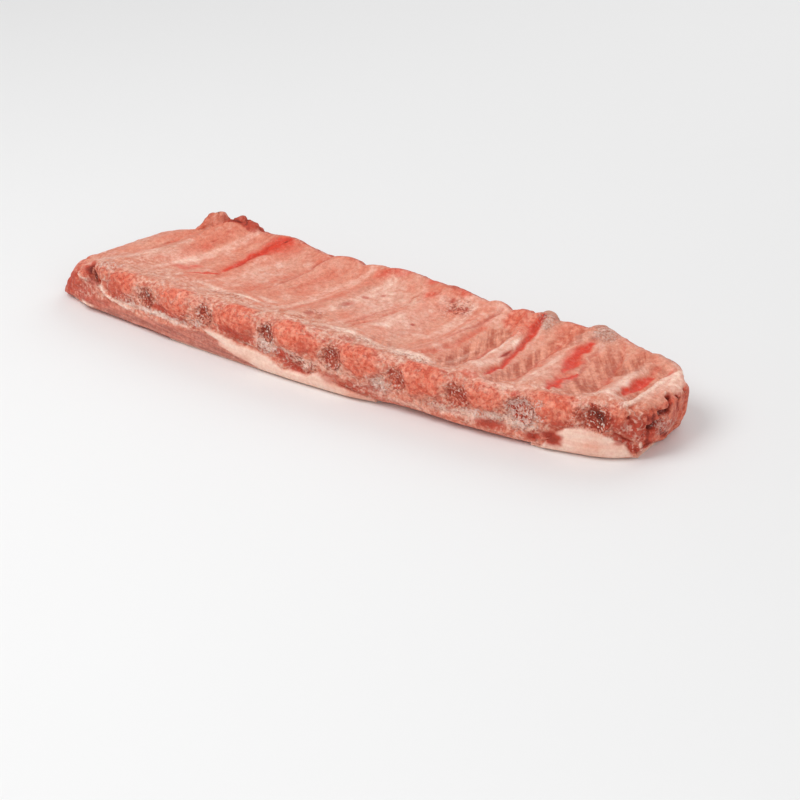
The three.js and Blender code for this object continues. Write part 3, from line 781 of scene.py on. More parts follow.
def spots(a, b, rows, ragged, softness):
    """Mask of oval marks: 1 less a ramp of the distance from each centre in half sizes,
    with the distance shifted by ragged noise, times each mark's strength."""
    total = np.zeros(np.broadcast(a, b).shape)
    for centre_a, centre_b, half_a, half_b, strength in rows:
        away = np.hypot((a - centre_a) / half_a, (b - centre_b) / half_b) + ragged
        total = np.maximum(total, strength * (1 - ramp(away, 1 - softness, 1 + softness)))
    return total


def oval_marks(a, b, table, n):
    """Masks of every kind of oval mark in a table, by name."""
    return {key: spots(a, b, rows, ragged * n.ragged + blotchy * n.blotch, softness)
            for key, (ragged, blotchy, softness, rows) in table.items()}


def bone_centre_height(rib, across, length):
    """Height of a rib bone's middle and its half height: it follows the bone side at a
    set cover, and is taller near the sawn end."""
    share = np.clip(across / length, NEAR_TOP_RADIUS / length, 1)
    sawn = 1 - ramp(share, 0, BONE_TAPER)
    half = mix(BONE_HEIGHT, BONE_SAWN_HEIGHT[rib - 1], sawn) / 2
    return top_height(float(rib), share) - BONE_COVER - half, half


def sawn_distance(place, height):
    """Distance from the nearest sawn bone end on the near wall, in that end's own radii."""
    nearest = np.full(np.broadcast(place, height).shape, np.inf)
    for rib in range(1, LAST_PLACE):
        length = ruling(np.array(float(rib)))[2]
        centre, half = bone_centre_height(rib, 0.0, length)
        step = np.gradient(NEAR_X)[rib]
        away = np.hypot((place - rib) * step / (BONE_WIDTH[rib - 1] / 2), (height - centre) / half)
        nearest = np.minimum(nearest, away)
    return nearest


def skin_zones(place, share, normal, direction):
    """How far each point belongs to each side of the rack, from 0 to 1: ramps of how much
    its normal faces up, down, near, far or along the rack. The ear is no end."""
    up = normal[..., 2]
    facing_near = -(normal * direction).sum(-1)
    facing_end = np.abs((normal * side_of(direction)).sum(-1))
    ear = ramp(share, 0.82, 0.86) * bell(place, EAR["place"] + 0.02, 0.33, 6)
    end = ramp(facing_end, 0.45, 0.8) * (1 - ear)
    return SimpleNamespace(
        up=up, top=ramp(up, 0.25, 0.75), belly=ramp(-up, 0.25, 0.75),
        wall=ramp(facing_near, 0.35, 0.8), far=ramp(-facing_near, 0.35, 0.85),
        ear=ear, end=end, left=end * (place < LAST_PLACE / 2), right=end * (place > LAST_PLACE / 2))


def skin_noise(points, place, share, length, zone):
    """The noises that the relief and the masks share. The flow is a grid along the fibres:
    long across the rack on the bone side, and long along it on the wall and far side."""
    run = np.interp(place, np.arange(LAST_PLACE + 1), NEAR_X)
    flow = np.stack([run, share * length / FIBRE_STRETCH, 0 * run], -1)
    upright = np.stack([points[..., 2], run / FIBRE_STRETCH, 0 * run], -1)
    flow = mix(flow, upright, np.maximum(zone.wall, zone.far)[..., None])
    aslant = flow + (FIBRE_LEAN * share * length)[..., None] * np.array([1, 0, 0])
    rough = noise(points, 4 * MM, 11)
    fine = grain(points, 2.2 * MM, 31, 2)
    return SimpleNamespace(
        flow=flow, rough=rough, fine=fine, ragged=0.3 * rough + 0.25 * fine,
        broad=grain(points, 14 * MM, 21, 3), streaky=grain(flow, 2.6 * MM, 41, 2),
        leaning=grain(aslant, 3.4 * MM, 43, 2), lumps=creases(points, 5 * MM, 45),
        veil=grain(flow, 6 * MM, 47, 2), blotch=grain(points, 8 * MM, 25, 3))


def bone_side_marks(place, share, zone, n):
    """Masks of the bone side: its oval marks and streaks, the crumbled band, the bands
    beside both edges, and the back of the flap behind the ear."""
    top, rough = zone.top, n.rough
    marks = SimpleNamespace(**oval_marks(place, share, TOP_OVALS, n))
    for key in ("spots", "window", "pale", "dark", "coral", "speckle"):
        setattr(marks, key, getattr(marks, key) * top)
    marks.flap = marks.flap * ramp(zone.up, -0.2, 0.4)
    marks.grey = marks.grey * ramp(zone.up, 0, 0.9)
    wavy = place + 0.05 * rough + 0.02 * n.fine
    for key, (softness, streaks) in STREAKS.items():
        setattr(marks, key, strongest(wavy, share, softness, streaks))
    marks.blood = np.maximum(marks.blood * (1.1 + 0.2 * n.streaky) * top, marks.spots)
    marks.line = marks.line * ramp(rough + 0.5 * n.fine, -0.9, 0.1)
    marks.inner = ramp(share, 0.08, 0.24) * (1 - ramp(share, 0.92, 1)) * top
    marks.strong = ramp(place, 4.3, 6.5)
    reach = np.interp(place, *np.transpose(CRUST_REACH))
    crust = 1 - ramp(share + 0.08 * rough + 0.05 * n.blotch, 0.4 * reach, reach)
    marks.crust = ramp(share, 0, 0.06) * crust * top * along(CRUST, place)
    marks.near_band = top * (1 - ramp(share + 0.05 * rough + 0.03 * n.fine, 0.04, 0.14))
    marks.far_band = top * ramp(share + 0.02 * rough, 0.9, 0.97) * (1 - 0.8 * zone.ear)
    rim = most(top, zone.far, 0.9 * zone.ear * (1 - top))
    marks.rim = rim * ramp(share + 0.008 * rough, 0.93, 0.95) * (1 - 0.6 * zone.ear * top)
    behind_ear = share + 0.015 * rough - 0.05 * (place - 1.1)
    marks.ear_back = bell(place, 1.16, 0.36, 6) * ramp(behind_ear, 0.865, 0.89)
    return marks


def fat_marks(points, place, zone, n, fat_piece):
    """Masks of the outer fat, of the thin crease along its upper edge, which is darkened as painted
    shade, and of the mauve skin along the foot. On a fat pad the underside is fat too."""
    z = points[..., 2] / MM
    edge = most(0, *(np.interp(place, *np.transpose(rows)) for rows in FAT_EDGES))
    fat = 1 - ramp(z + 0.7 * n.rough + 0.5 * n.fine, edge - 0.9, edge + 0.7)
    skin_edge = np.interp(place, *np.transpose(SKIN_EDGE))
    banded = z + 1.1 * n.streaky + 0.5 * n.rough
    fat = fat * ramp(edge, 0, 1) * ramp(banded, skin_edge - 0.9, skin_edge + 1.1)
    fat = fat * np.maximum(zone.wall, zone.end * (place > LAST_PLACE - 1))
    # Crease along the fat's upper edge: sunk a little, and darkened as painted shade.
    line = bell(z + 0.5 * n.rough, edge + 0.9, 0.8) * ramp(edge, 1, 3) * zone.wall
    line = line * ramp(grain(points, 6 * MM, 83, 2), -0.1, 0.35)
    if fat_piece:
        fat = np.maximum(fat, np.clip(zone.belly - zone.wall, 0, 1))
    foot_top = np.interp(place, *np.transpose(FOOT_SKIN_TOP))
    foot_top = np.where(place > SKIN_START, np.minimum(foot_top, skin_edge + 0.8), foot_top)
    foot = zone.wall * (1 - ramp(z + 0.8 * n.rough, foot_top - 0.8, foot_top + 0.8))
    return fat, line, foot * ramp(place, 0.5, 0.9)


def sawn_side_marks(points, place, share, zone, n, bone_side, fat_piece):
    """Masks of the sawn wall: its oval marks, the fat, and round each bone's sawn face a
    pocket, a hollow inside it and spongy tissue about it."""
    wall = zone.wall
    ovals = oval_marks(place, points[..., 2] / MM, WALL_OVALS, n)
    marks = SimpleNamespace(**{key: mask * wall for key, mask in ovals.items()})
    marks.lobes = ovals["lobes"] * ramp(wall + zone.top + zone.end, 0.3, 0.9)
    to_bone = sawn_distance(place, points[..., 2]) + 0.12 * n.rough + 0.16 * n.fine
    marks.pocket = (1 - ramp(to_bone, 0.74, 1.06)) * wall
    marks.hollow = (1 - ramp(to_bone, 0.5, 0.74)) * wall
    sponge = (1 - ramp(to_bone, 0.85, 1.5)) * wall * (0.75 + 0.25 * ramp(n.rough, -0.3, 0.3))
    sponge = sponge * at_bones(SPONGE, place)
    marks.sponge = most(sponge, 0.8 * marks.speckle, bone_side.speckle)
    marks.front = np.maximum(wall, zone.top * (1 - ramp(share, 0.04, 0.12)))
    marks.fat, marks.fat_line, marks.foot = fat_marks(points, place, zone, n, fat_piece)
    marks.smooth = np.maximum(marks.fat, marks.foot)
    marks.bumpy = marks.front * (1 - marks.smooth)
    return marks


def end_marks(points, place, zone, n):
    """Masks of the trails, by kind, with their relief in metres, the torn and split
    creases of the two ends, and the left end's tip."""
    marks = SimpleNamespace(relief=0 * place)
    for kind, radius, rise, path in TRAILS:
        mark = trail(points, path, radius, 0.8 * n.ragged)
        marks.relief = marks.relief + rise * MM * mark
        setattr(marks, kind, np.maximum(getattr(marks, kind, 0), mark))
    marks.torn = creases(points * np.array([1, 1, 0.5]), 7 * MM, 51, 3) * zone.right
    marks.split = creases(points, 7 * MM, 53) * zone.left
    marks.tip = np.maximum(zone.left, zone.wall * (1 - ramp(place + 0.04 * n.rough, 0.25, 0.8)))
    return marks


def skin_relief(points, zone, n, bone_side, sawn, ends, shape):
    """Relief outwards in metres: the sum of each side's noises and marks, each times its
    height, less the depths of its creases, pockets and grooves."""
    rough, fine, lumps, bare = n.rough, n.fine, n.lumps, 1 - sawn.fat
    inner, window, fibrous = bone_side.inner, bone_side.window, 0.4 + 0.6 * bone_side.strong
    wrinkles = n.streaky * (0.08 + 0.35 * bone_side.strong) + n.leaning * window
    crumbs = fine + 0.8 * rough - 0.9 * lumps * ramp(rough, -0.5, 0.3)
    bulge = shape.lobe_height / MM * (sawn.lobes - 0.3) * (1 + 0.5 * n.blotch)
    grooves = creases(points * np.array([0.45, 1, 1]), 13 * MM, 61)
    off_ground = ramp(points[..., 2], 0.2 * MM, 2 * MM)
    millimetres = (
        0.45 * n.broad * (1 - 0.5 * zone.belly)
        + inner * (shape.wrinkle_height / MM * wrinkles + shape.fold_scale * bone_side.fold
                   - shape.crease_scale * (bone_side.crease + 0.5 * bone_side.line)
                   + 0.35 * n.veil * fibrous)
        + zone.top * (0.1 * (fine + rough) + 0.3 * n.blotch + zone.ear * (0.5 * rough + 0.4 * fine))
        - 0.45 * window * fibrous - 0.5 * bone_side.dark
        + bone_side.flap * (0.6 + 0.8 * n.streaky)
        + shape.crust_height / MM * bone_side.crust * crumbs
        + sawn.bumpy * (0.35 * rough + 0.4 * fine - 0.5 * lumps * (1 - 0.5 * sawn.lobes) + bulge)
        - 0.7 * sawn.dark - 0.3 * sawn.red - 1.5 * sawn.pocket - 2 * sawn.hollow
        + sawn.smooth * (0.5 * sawn.fat + 0.3 * n.streaky * sawn.foot) - 0.2 * sawn.fat_line
        + bare * (0.7 * rough * zone.right - shape.fold_depth / MM * ends.torn
                  - 0.35 * zone.belly * grooves * off_ground)
        + zone.left * (0.4 * rough + 0.4 * fine - 0.6 * ends.split)
        + zone.far * (0.5 * rough + 0.3 * fine - 0.5 * lumps)
        + bone_side.ear_back * (1.1 * rough + 0.8 * fine - 0.9 * lumps))
    return ends.relief + millimetres * MM


def skin_masks(points, place, share, zone, n, bone_side, sawn, ends):
    """Masks of the colours: for each the strongest of the marks that bear it, broken up by noise.
    All but the fat, blood, dark, frost and windows stop at the fat. The dark mask is partly painted
    shade, in the sunk grooves and creases of the ends, the pockets round the bones, the crease
    lines and the crease along the fat, and the pink along the creases is painted shade too."""
    top, wall, far, belly, ear = zone.top, zone.wall, zone.far, zone.belly, zone.ear
    rough, fine, ear_back, inner = n.rough, n.fine, bone_side.ear_back, bone_side.inner
    bare, grey = 1 - sawn.fat, bone_side.grey
    seams = creases(points * np.array([0.35, 1, 1]), 17 * MM, 71)
    fresh = (wall * (0.15 + 0.3 * fine) + sawn.front * sawn.lobes + 0.3 * bone_side.near_band
             + 0.6 * bone_side.far_band + 0.75 * bone_side.coral)
    hidden = np.maximum(far, 1 - ramp(zone.up, 0, 0.5) - wall) * (0.85 + 0.3 * rough)
    coral = most(fresh, zone.end, bone_side.flap, hidden, belly * (0.75 + 0.3 * n.broad), ear_back)
    red = most(
        sawn.red, ends.red, ends.tip * (0.55 + 0.4 * ramp(rough + n.blotch, -0.3, 0.3)),
        0.5 * zone.right * ramp(rough, -0.1, 0.6), 0.85 * ear_back,
        0.6 * bone_side.far_band * ramp(rough, -0.6, 0.2),
        0.85 * bone_side.rim * ramp(rough + 0.5 * fine, -0.8, 0))
    pale = np.maximum(bone_side.pale, sawn.pale)
    pale = pale + inner * (0.22 * bone_side.fold + 0.35 * ramp(-n.veil, 0.1, 0.6))
    clean = (1 - bone_side.window) * (1 - bone_side.blood)
    pale = most(
        pale + 0.3 * top * ramp(n.blotch, 0.15, 0.6) * clean, 0.9 * ends.pale,
        belly * ramp(seams + 0.4 * n.broad, 0.75, 1.1), 0.7 * far * ramp(seams, 0.8, 1))
    # Painted shade: the dark in the ends' sunk grooves, in the torn and split creases, in the
    # pockets round the bones, along the crease lines and along the crease above the fat. The dark
    # ovals and specks are the meat's own.
    dark = most(
        bone_side.dark, sawn.dark, 0.95 * ends.dark, 0.5 * ramp(ends.split, 0.6, 0.95),
        0.8 * ramp(ends.torn, 0.35, 0.95) * bare * ramp(rough, -0.4, 0.2),
        0.36 * sawn.pocket * at_bones(DEEP, place), 0.27 * bone_side.line * inner,
        ear_back * np.maximum(0.9 * ramp(n.lumps, 0.25, 0.8), 0.4 * ramp(rough, -0.3, 0.4)),
        0.3 * ear * top * ramp(fine + 0.6 * rough, 0.15, 0.6),
        0.45 * sawn.fat_line * ramp(rough, -0.2, 0.5))
    frost = most(
        sawn.frost, 0.4 * bone_side.near_band * ramp(rough, -0.4, 0.4) + 0.14 * wall,
        0.7 * ends.frost, 0.3 * zone.right, 0.35 * bone_side.crust * ramp(rough, -0.1, 0.5))
    frost = frost * (1 - sawn.smooth) * (1 - 0.8 * ends.tip)
    rugged = most(
        0.12, 0.6 * bone_side.crust, sawn.bumpy * (0.75 - 0.35 * sawn.lobes),
        (0.6 * zone.left + 0.35 * zone.right) * bare, 0.5 * bone_side.far_band, 0.2 * far,
        0.7 * ear_back)
    # Painted shade: the flush along the creases. The rest of the flush is the meat's own patchy
    # pink.
    flush = (inner * (0.9 * bone_side.crease + 0.4 * ramp(n.veil, 0.1, 0.6))
             + 0.35 * top * ramp(-n.blotch, 0.2, 0.6) + 0.13 * top * ramp(3.9 - place, 0, 0.8))
    silver = np.maximum(sawn.foot, 0.5 * belly * ramp(n.broad, 0, 0.5)) * (1 - ends.tip)
    return {
        "lean": np.maximum(bone_side.window, 0.8 * ends.lean), "coral": np.clip(coral, 0, 1) * bare,
        "red": red * bare, "blood": bone_side.blood, "pale": pale * bare, "fat": sawn.fat,
        "dark": dark, "silver": silver * bare,
        "frost": np.maximum(frost, 0.75 * grey * ramp(share, 0.78, 0.84)),
        "flush": np.clip(flush, 0, 0.9), "crust": bone_side.crust,
        "grey": np.maximum(0.7 * grey, 0.8 * ends.grey), "sponge": sawn.sponge * bare,
        "rugged": rugged * bare * (1 - 0.85 * ends.tip), "flow": n.flow, "inner": inner,
    }


def rack_features(points, place, share, normal, shape, fat_piece=False):
    """Relief along the normals and the masks of the rack's skin. A fat pad uses the same
    ones, so that it meets the meat without a step."""
    direction, length = ruling(place)[1:]
    zone = skin_zones(place, share, normal, direction)
    n = skin_noise(points, place, share, length, zone)
    bone_side = bone_side_marks(place, share, zone, n)
    sawn = sawn_side_marks(points, place, share, zone, n, bone_side, fat_piece)
    ends = end_marks(points, place, zone, n)
    relief = skin_relief(points, zone, n, bone_side, sawn, ends, shape)
    return relief, skin_masks(points, place, share, zone, n, bone_side, sawn, ends)


# ---- Materials

class Nodes:
    """Short ways to add nodes to one tree. Each value is a number, a colour or the socket
    that feeds it, and each way returns the new node's output."""

    def __init__(self, tree):
        self.tree = tree

    def feed(self, target, value):
        """Sets a socket to a number or a colour, or links a socket to it."""
        if isinstance(value, (int, float, tuple)):
            target.default_value = value
        else:
            self.tree.links.new(value, target)

    def new(self, kind, **values):
        """Node of that kind with its inputs set by name, where _ stands for a space."""
        node = self.tree.nodes.new(f"ShaderNode{kind}")
        for key, value in values.items():
            self.feed(node.inputs[key.replace("_", " ")], value)
        return node

    def math(self, operation, *values, clamp=False):
        node = self.new("Math")
        node.operation = operation
        node.use_clamp = clamp
        for target, value in zip(node.inputs, values):
            self.feed(target, value)
        return node.outputs[0]

    def times(self, a, b, clamp=False):
        return self.math("MULTIPLY", a, b, clamp=clamp)

    def line(self, value, slope, offset, clamp=False):
        """The value times a slope, plus an offset."""
        return self.math("MULTIPLY_ADD", value, slope, offset, clamp=clamp)

    def contrast(self, value, slope, offset):
        """The same, kept from 0 to 1."""
        return self.line(value, slope, offset, True)

    def blend(self, factor, a, b, mode="MIX"):
        """From colour a to colour b by the factor."""
        node = self.new("Mix")
        node.data_type = "RGBA"
        node.blend_type = mode
        for index, value in ((0, factor), (6, a), (7, b)):
            self.feed(node.inputs[index], value)
        return node.outputs[2]

    def noise(self, vector, scale, detail=2.0, roughness=0.5):
        return self.new("TexNoise", Vector=vector, Scale=scale, Detail=detail,
                        Roughness=roughness).outputs["Fac"]

    def attribute(self, key, output="Fac"):
        node = self.new("Attribute")
        node.attribute_name = key
        return node.outputs[output]

    def place(self):
        """Object coordinates."""
        return self.new("TexCoord").outputs["Object"]

    def group(self, name, **values):
        """One of the shared groups. Returns its outputs."""
        node = self.new("Group")
        node.node_tree = GROUPS[name]
        for key, value in values.items():
            self.feed(node.inputs[key], value)
        return node.outputs


GROUPS = {}


def new_group(name, inputs, outputs):
    """Empty shader group with these sockets: each input's name, kind and value, and each
    output's name and kind. Returns its nodes, its inputs to read and its outputs to
    feed."""
    tree = bpy.data.node_groups.new(name, "ShaderNodeTree")
    for label, kind, value in inputs:
        made = tree.interface.new_socket(label, in_out="INPUT", socket_type=f"NodeSocket{kind}")
        if value is not None:
            made.default_value = value
    for label, kind in outputs:
        tree.interface.new_socket(label, in_out="OUTPUT", socket_type=f"NodeSocket{kind}")
    GROUPS[name] = tree
    start, end = tree.nodes.new("NodeGroupInput"), tree.nodes.new("NodeGroupOutput")
    return Nodes(tree), start.outputs, end.inputs


def stain_group():
    """Lays a colour over another where a mask says, with the mask's edge broken up."""
    nodes, given, result = new_group(
        "Stain",
        [("Base", "Color", None), ("Stain", "Color", None), ("Mask", "Float", 0.0),
         ("Breakup", "Float", 0.5), ("Strength", "Float", 0.4)],
        [("Color", "Color"), ("Mask", "Float")])
    shift = nodes.times(nodes.math("SUBTRACT", given["Breakup"], 0.5), given["Strength"])
    inside = nodes.times(given["Mask"], 4.0, clamp=True)
    mask = nodes.math("ADD", given["Mask"], nodes.times(shift, inside), clamp=True)
    nodes.feed(result["Color"], nodes.blend(mask, given["Base"], given["Stain"]))
    nodes.feed(result["Mask"], mask)


def speckle_group():
    """Small grains: 1 on scattered flecks whose share of the surface is the coverage."""
    nodes, given, result = new_group(
        "Speckle",
        [("Vector", "Vector", None), ("Scale", "Float", 900.0), ("Coverage", "Float", 0.3)],
        [("Mask", "Float")])
    value = nodes.noise(given["Vector"], given["Scale"], 3.0, 0.7)
    above = nodes.math("SUBTRACT", value, nodes.line(given["Coverage"], -0.32, 0.7))
    nodes.feed(result["Mask"], nodes.times(above, 14.0, clamp=True))


def fibre_group():
    """Fibres along the flow coordinates: noise that is long one way and short the other,
    leaned over by a share of the long way."""
    nodes, given, result = new_group(
        "Fibre",
        [("Flow", "Vector", None), ("Pitch", "Float", 700.0), ("Lean", "Float", 0.0)],
        [("Value", "Float")])
    flow = nodes.new("SeparateXYZ", Vector=given["Flow"]).outputs
    leaned = nodes.math("ADD", flow["X"], nodes.times(flow["Y"], given["Lean"]))
    joined = nodes.new("CombineXYZ", X=leaned, Y=flow["Y"]).outputs[0]
    nodes.feed(result["Value"], nodes.noise(joined, given["Pitch"], 3.0, 0.6))


def sponge_group():
    """Spongy tissue over a colour where a mask says: dark pores where a fine noise is low,
    and light flecks where it is high. Height is 0 in a pore and 1 on a fleck."""
    nodes, given, result = new_group(
        "Sponge",
        [("Base", "Color", None), ("Pore", "Color", None), ("Fleck", "Color", None),
         ("Vector", "Vector", None), ("Scale", "Float", 800.0), ("Mask", "Float", 0.0)],
        [("Color", "Color"), ("Height", "Float")])
    value = nodes.noise(given["Vector"], given["Scale"], 1.0)
    pore = nodes.times(nodes.contrast(value, -11.0, 5.2), given["Mask"])
    fleck = nodes.times(nodes.contrast(value, 12.0, -6.9), given["Mask"])
    colour = nodes.blend(pore, given["Base"], given["Pore"])
    nodes.feed(result["Color"], nodes.blend(fleck, colour, given["Fleck"]))
    nodes.feed(result["Height"], nodes.line(nodes.math("SUBTRACT", fleck, pore), 0.5, 0.5))


def vein_group():
    """Thin wandering lines: 1 where a noise is close to its middle, 0 elsewhere, broken by
    a second noise."""
    nodes, given, result = new_group(
        "Veins",
        [("Vector", "Vector", None), ("Scale", "Float", 300.0), ("Thinness", "Float", 22.0)],
        [("Mask", "Float")])
    value = nodes.noise(given["Vector"], given["Scale"], 1.0)
    away = nodes.math("ABSOLUTE", nodes.math("SUBTRACT", value, 0.5))
    thin = nodes.math("SUBTRACT", 1.0, nodes.times(away, given["Thinness"]), clamp=True)
    kept = nodes.contrast(nodes.noise(given["Vector"], 170.0), 7.0, -3.1)
    nodes.feed(result["Mask"], nodes.times(thin, kept))


def new_material(name):
    """Material with a Principled BSDF. Returns it, its nodes and the shader's inputs."""
    material = bpy.data.materials.new(name)
    material.use_nodes = True
    tree = material.node_tree
    return material, Nodes(tree), tree.nodes["Principled BSDF"].inputs


def palette(colours):
    """The colour properties as values with an alpha, by name."""
    return SimpleNamespace(**{key: (*getattr(colours, key), 1.0)
                              for key in colours.__annotations__})


def finish(nodes, shader, colour, roughness, bumps, **values):
    """Feeds the shader: its colour, roughness, bump and own numbers."""
    nodes.feed(shader["Base Color"], colour)
    nodes.feed(shader["Roughness"], roughness)
    bump = nodes.new("Bump", Height=bumps, Distance=BUMP_DISTANCE, Strength=1.0)
    nodes.feed(shader["Normal"], bump.outputs["Normal"])
    for key, value in values.items():
        nodes.feed(shader[key.replace("_", " ")], value)


def meat_material(colours):
    """Pale membrane over pink meat, with the masks' stains laid over it in turn: crust, lean
    windows, grey skin, fresh coral meat, silver skin, deep red, pale fat, the outer fat and blood,
    then sinews, pits, spongy bone, dark clots with painted shade in the crevices, pockets and
    creases, and frost."""
    material, nodes, shader = new_material("raw_pork")
    c = palette(colours)
    place = nodes.place()
    flow = nodes.attribute("flow", "Vector")
    broad, middling, fine, grit = (nodes.noise(place, scale, detail, 0.6)
                                   for scale, detail in MEAT_NOISES)
    fibre, close_fibre, level_fibre = (nodes.group("Fibre", Flow=flow, Pitch=pitch, Lean=lean)[0]
                                       for pitch, lean in MEAT_FIBRES)
    veins = nodes.group("Veins", Vector=place, Scale=260.0, Thinness=16.0)[0]

    thin = nodes.contrast(fibre, -3.6, 1.9)
    base = nodes.blend(nodes.contrast(broad, 4.0, -1.5), c.membrane_pink, c.membrane)
    base = nodes.blend(nodes.times(thin, 0.25), base, c.coral)
    base = nodes.blend(nodes.times(nodes.contrast(middling, 6.0, -3.2), 0.38), base, c.flush)
    base = nodes.blend(nodes.times(nodes.contrast(middling, -6.0, 2.6), 0.4), base, c.fat)
    # The flush mask: painted shade along the creases, and the meat's own patchy pink elsewhere.
    base = nodes.blend(nodes.attribute("flush"), base, c.flush)

    crust = nodes.blend(nodes.contrast(middling, 7.0, -3.2), c.crust_pale, c.crust)
    striped = nodes.contrast(close_fibre, 5.6, nodes.line(middling, 1.2, -3.0))
    lean = nodes.blend(striped, c.lean, c.lean_light)
    coral = nodes.blend(nodes.contrast(middling, 4.0, -1.7), c.coral, c.coral_light)
    silver = nodes.blend(nodes.contrast(level_fibre, 5.0, -2.1), c.silver, c.silver_light)
    fat = nodes.blend(nodes.contrast(broad, 3.6, -1.75), c.fat, c.fat_pink)
    fat = nodes.blend(nodes.times(thin, 0.4), fat, c.coral_light)
    laid = {}
    for key, colour, breakup, strength in (
            ("crust", crust, fine, 1.6), ("lean", lean, middling, 0.7),
            ("grey", c.grey, middling, 1.0), ("coral", coral, middling, 0.9),
            ("silver", silver, middling, 0.5), ("red", c.red, middling, 1.1),
            ("pale", c.fat, middling, 0.9), ("fat", fat, middling, 0.5),
            ("blood", c.blood, fine, 0.45)):
        stained = nodes.group("Stain", Base=base, Stain=colour, Mask=nodes.attribute(key),
                              Breakup=breakup, Strength=strength)
        base, laid[key] = stained["Color"], stained["Mask"]

    rugged, dark, inner = (nodes.attribute(key) for key in ("rugged", "dark", "inner"))
    sinew = nodes.times(nodes.times(veins, rugged), nodes.line(laid["coral"], -0.65, 1.0))
    base = nodes.blend(nodes.times(sinew, 0.8), base, c.fat)
    pits = nodes.group("Sponge", Base=base, Pore=c.red, Vector=place, Scale=560.0,
                       Fleck=nodes.blend(laid["coral"], c.fat, c.coral_light),
                       Mask=nodes.line(laid["coral"], 0.34, nodes.times(rugged, 0.55)))
    sponge = nodes.group("Sponge", Base=pits["Color"], Pore=c.marrow, Fleck=c.frost, Vector=place,
                         Scale=SPONGE_SCALE, Mask=nodes.attribute("sponge"))
    # The dark mask goes to red and then to the clot colour: dark meat, and painted shade in the
    # crevices, pockets and creases.
    base = nodes.blend(nodes.times(dark, 1.7, clamp=True), sponge["Color"], c.red)
    deep = nodes.contrast(dark, 1.7, nodes.line(middling, 1.2, -1.4))
    base = nodes.blend(deep, base, c.clot_and_shade)
    frost = nodes.attribute("frost")
    flecks = nodes.group("Speckle", Vector=place, Scale=820.0, Coverage=frost)[0]
    frosted = nodes.times(flecks, frost)
    base = nodes.blend(nodes.times(frosted, 0.75), base, c.frost)

    calm = nodes.line(laid["fat"], -0.6, 1.0)
    mixed = nodes.line(middling, 0.4, nodes.line(grit, 0.5, nodes.times(fine, 0.8)))
    mixed = nodes.times(nodes.math("SUBTRACT", mixed, 0.85), calm)
    tone = nodes.contrast(nodes.times(mixed, nodes.line(inner, -0.2, 1.0)), 2.4, 0.5)
    base = nodes.blend(1.0, base, nodes.blend(tone, *MEAT_TONES), "MULTIPLY")

    roughness = nodes.contrast(frosted, 0.25, nodes.line(middling, 0.28, 0.32))
    bumps = nodes.line(middling, 0.7, nodes.line(grit, 0.25, nodes.times(fine, 0.7)))
    bumps = nodes.times(nodes.times(bumps, calm), nodes.line(inner, -0.55, 1.0))
    for height, share in ((nodes.times(close_fibre, inner), 0.35), (flecks, 0.3),
                          (sponge["Height"], 1.2), (pits["Height"], 0.7), (sinew, 0.6)):
        bumps = nodes.line(height, share, bumps)
    finish(nodes, shader, base, roughness, bumps, Subsurface_Weight=0.12,
           Subsurface_Radius=(1.0, 0.35, 0.2), Subsurface_Scale=0.002, Specular_IOR_Level=0.22)
    return material


def bone_material(colours):
    """Sawn rib bone: spongy dark red marrow that turns to pink tissue at its ragged rim,
    with frost in its pores, and a grey-pink sheath where a knob is bare."""
    material, nodes, shader = new_material("rib_bone")
    c = palette(colours)
    place = nodes.place()
    middling, fine = (nodes.noise(place, scale, 2.0, 0.6) for scale in (300.0, 900.0))
    base = nodes.blend(nodes.contrast(middling, 5.0, -2.0), c.red, c.marrow_light)
    # The deep mask: dark marrow, with painted shade in the upper half of the sunk face.
    for key, colour, strength in (("shell", c.bone, 2.2), ("sheath", c.grey, 0.6),
                                  ("deep", c.clot_and_shade, 1.2)):
        base = nodes.group("Stain", Base=base, Stain=colour, Mask=nodes.attribute(key),
                           Breakup=middling, Strength=strength)["Color"]
    sponge = nodes.group("Sponge", Base=base, Pore=c.marrow, Fleck=c.frost, Vector=place,
                         Scale=SPONGE_SCALE, Mask=nodes.attribute("sponge"))
    rime = nodes.attribute("rime")
    flecks = nodes.group("Speckle", Vector=place, Scale=560.0, Coverage=rime)[0]
    frosted = nodes.times(nodes.times(flecks, rime), 0.8)
    base = nodes.blend(frosted, sponge["Color"], c.frost)
    bumps = nodes.line(sponge["Height"], 1.2, nodes.times(fine, 0.6))
    finish(nodes, shader, base, nodes.line(middling, 0.35, 0.4), bumps, Specular_IOR_Level=0.12)
    return material


def floor_material(colour):
    """Plain floor of that colour with a very faint cloud."""
    material, nodes, shader = new_material("pale_floor")
    tone = nodes.line(nodes.noise(nodes.place(), 4.0), 0.02, 0.99)
    grey = nodes.new("CombineColor", Red=tone, Green=tone, Blue=tone).outputs[0]
    nodes.feed(shader["Base Color"], nodes.blend(1.0, (*colour, 1.0), grey, "MULTIPLY"))
    nodes.feed(shader["Roughness"], 0.9)
    return material


# ---- Pieces

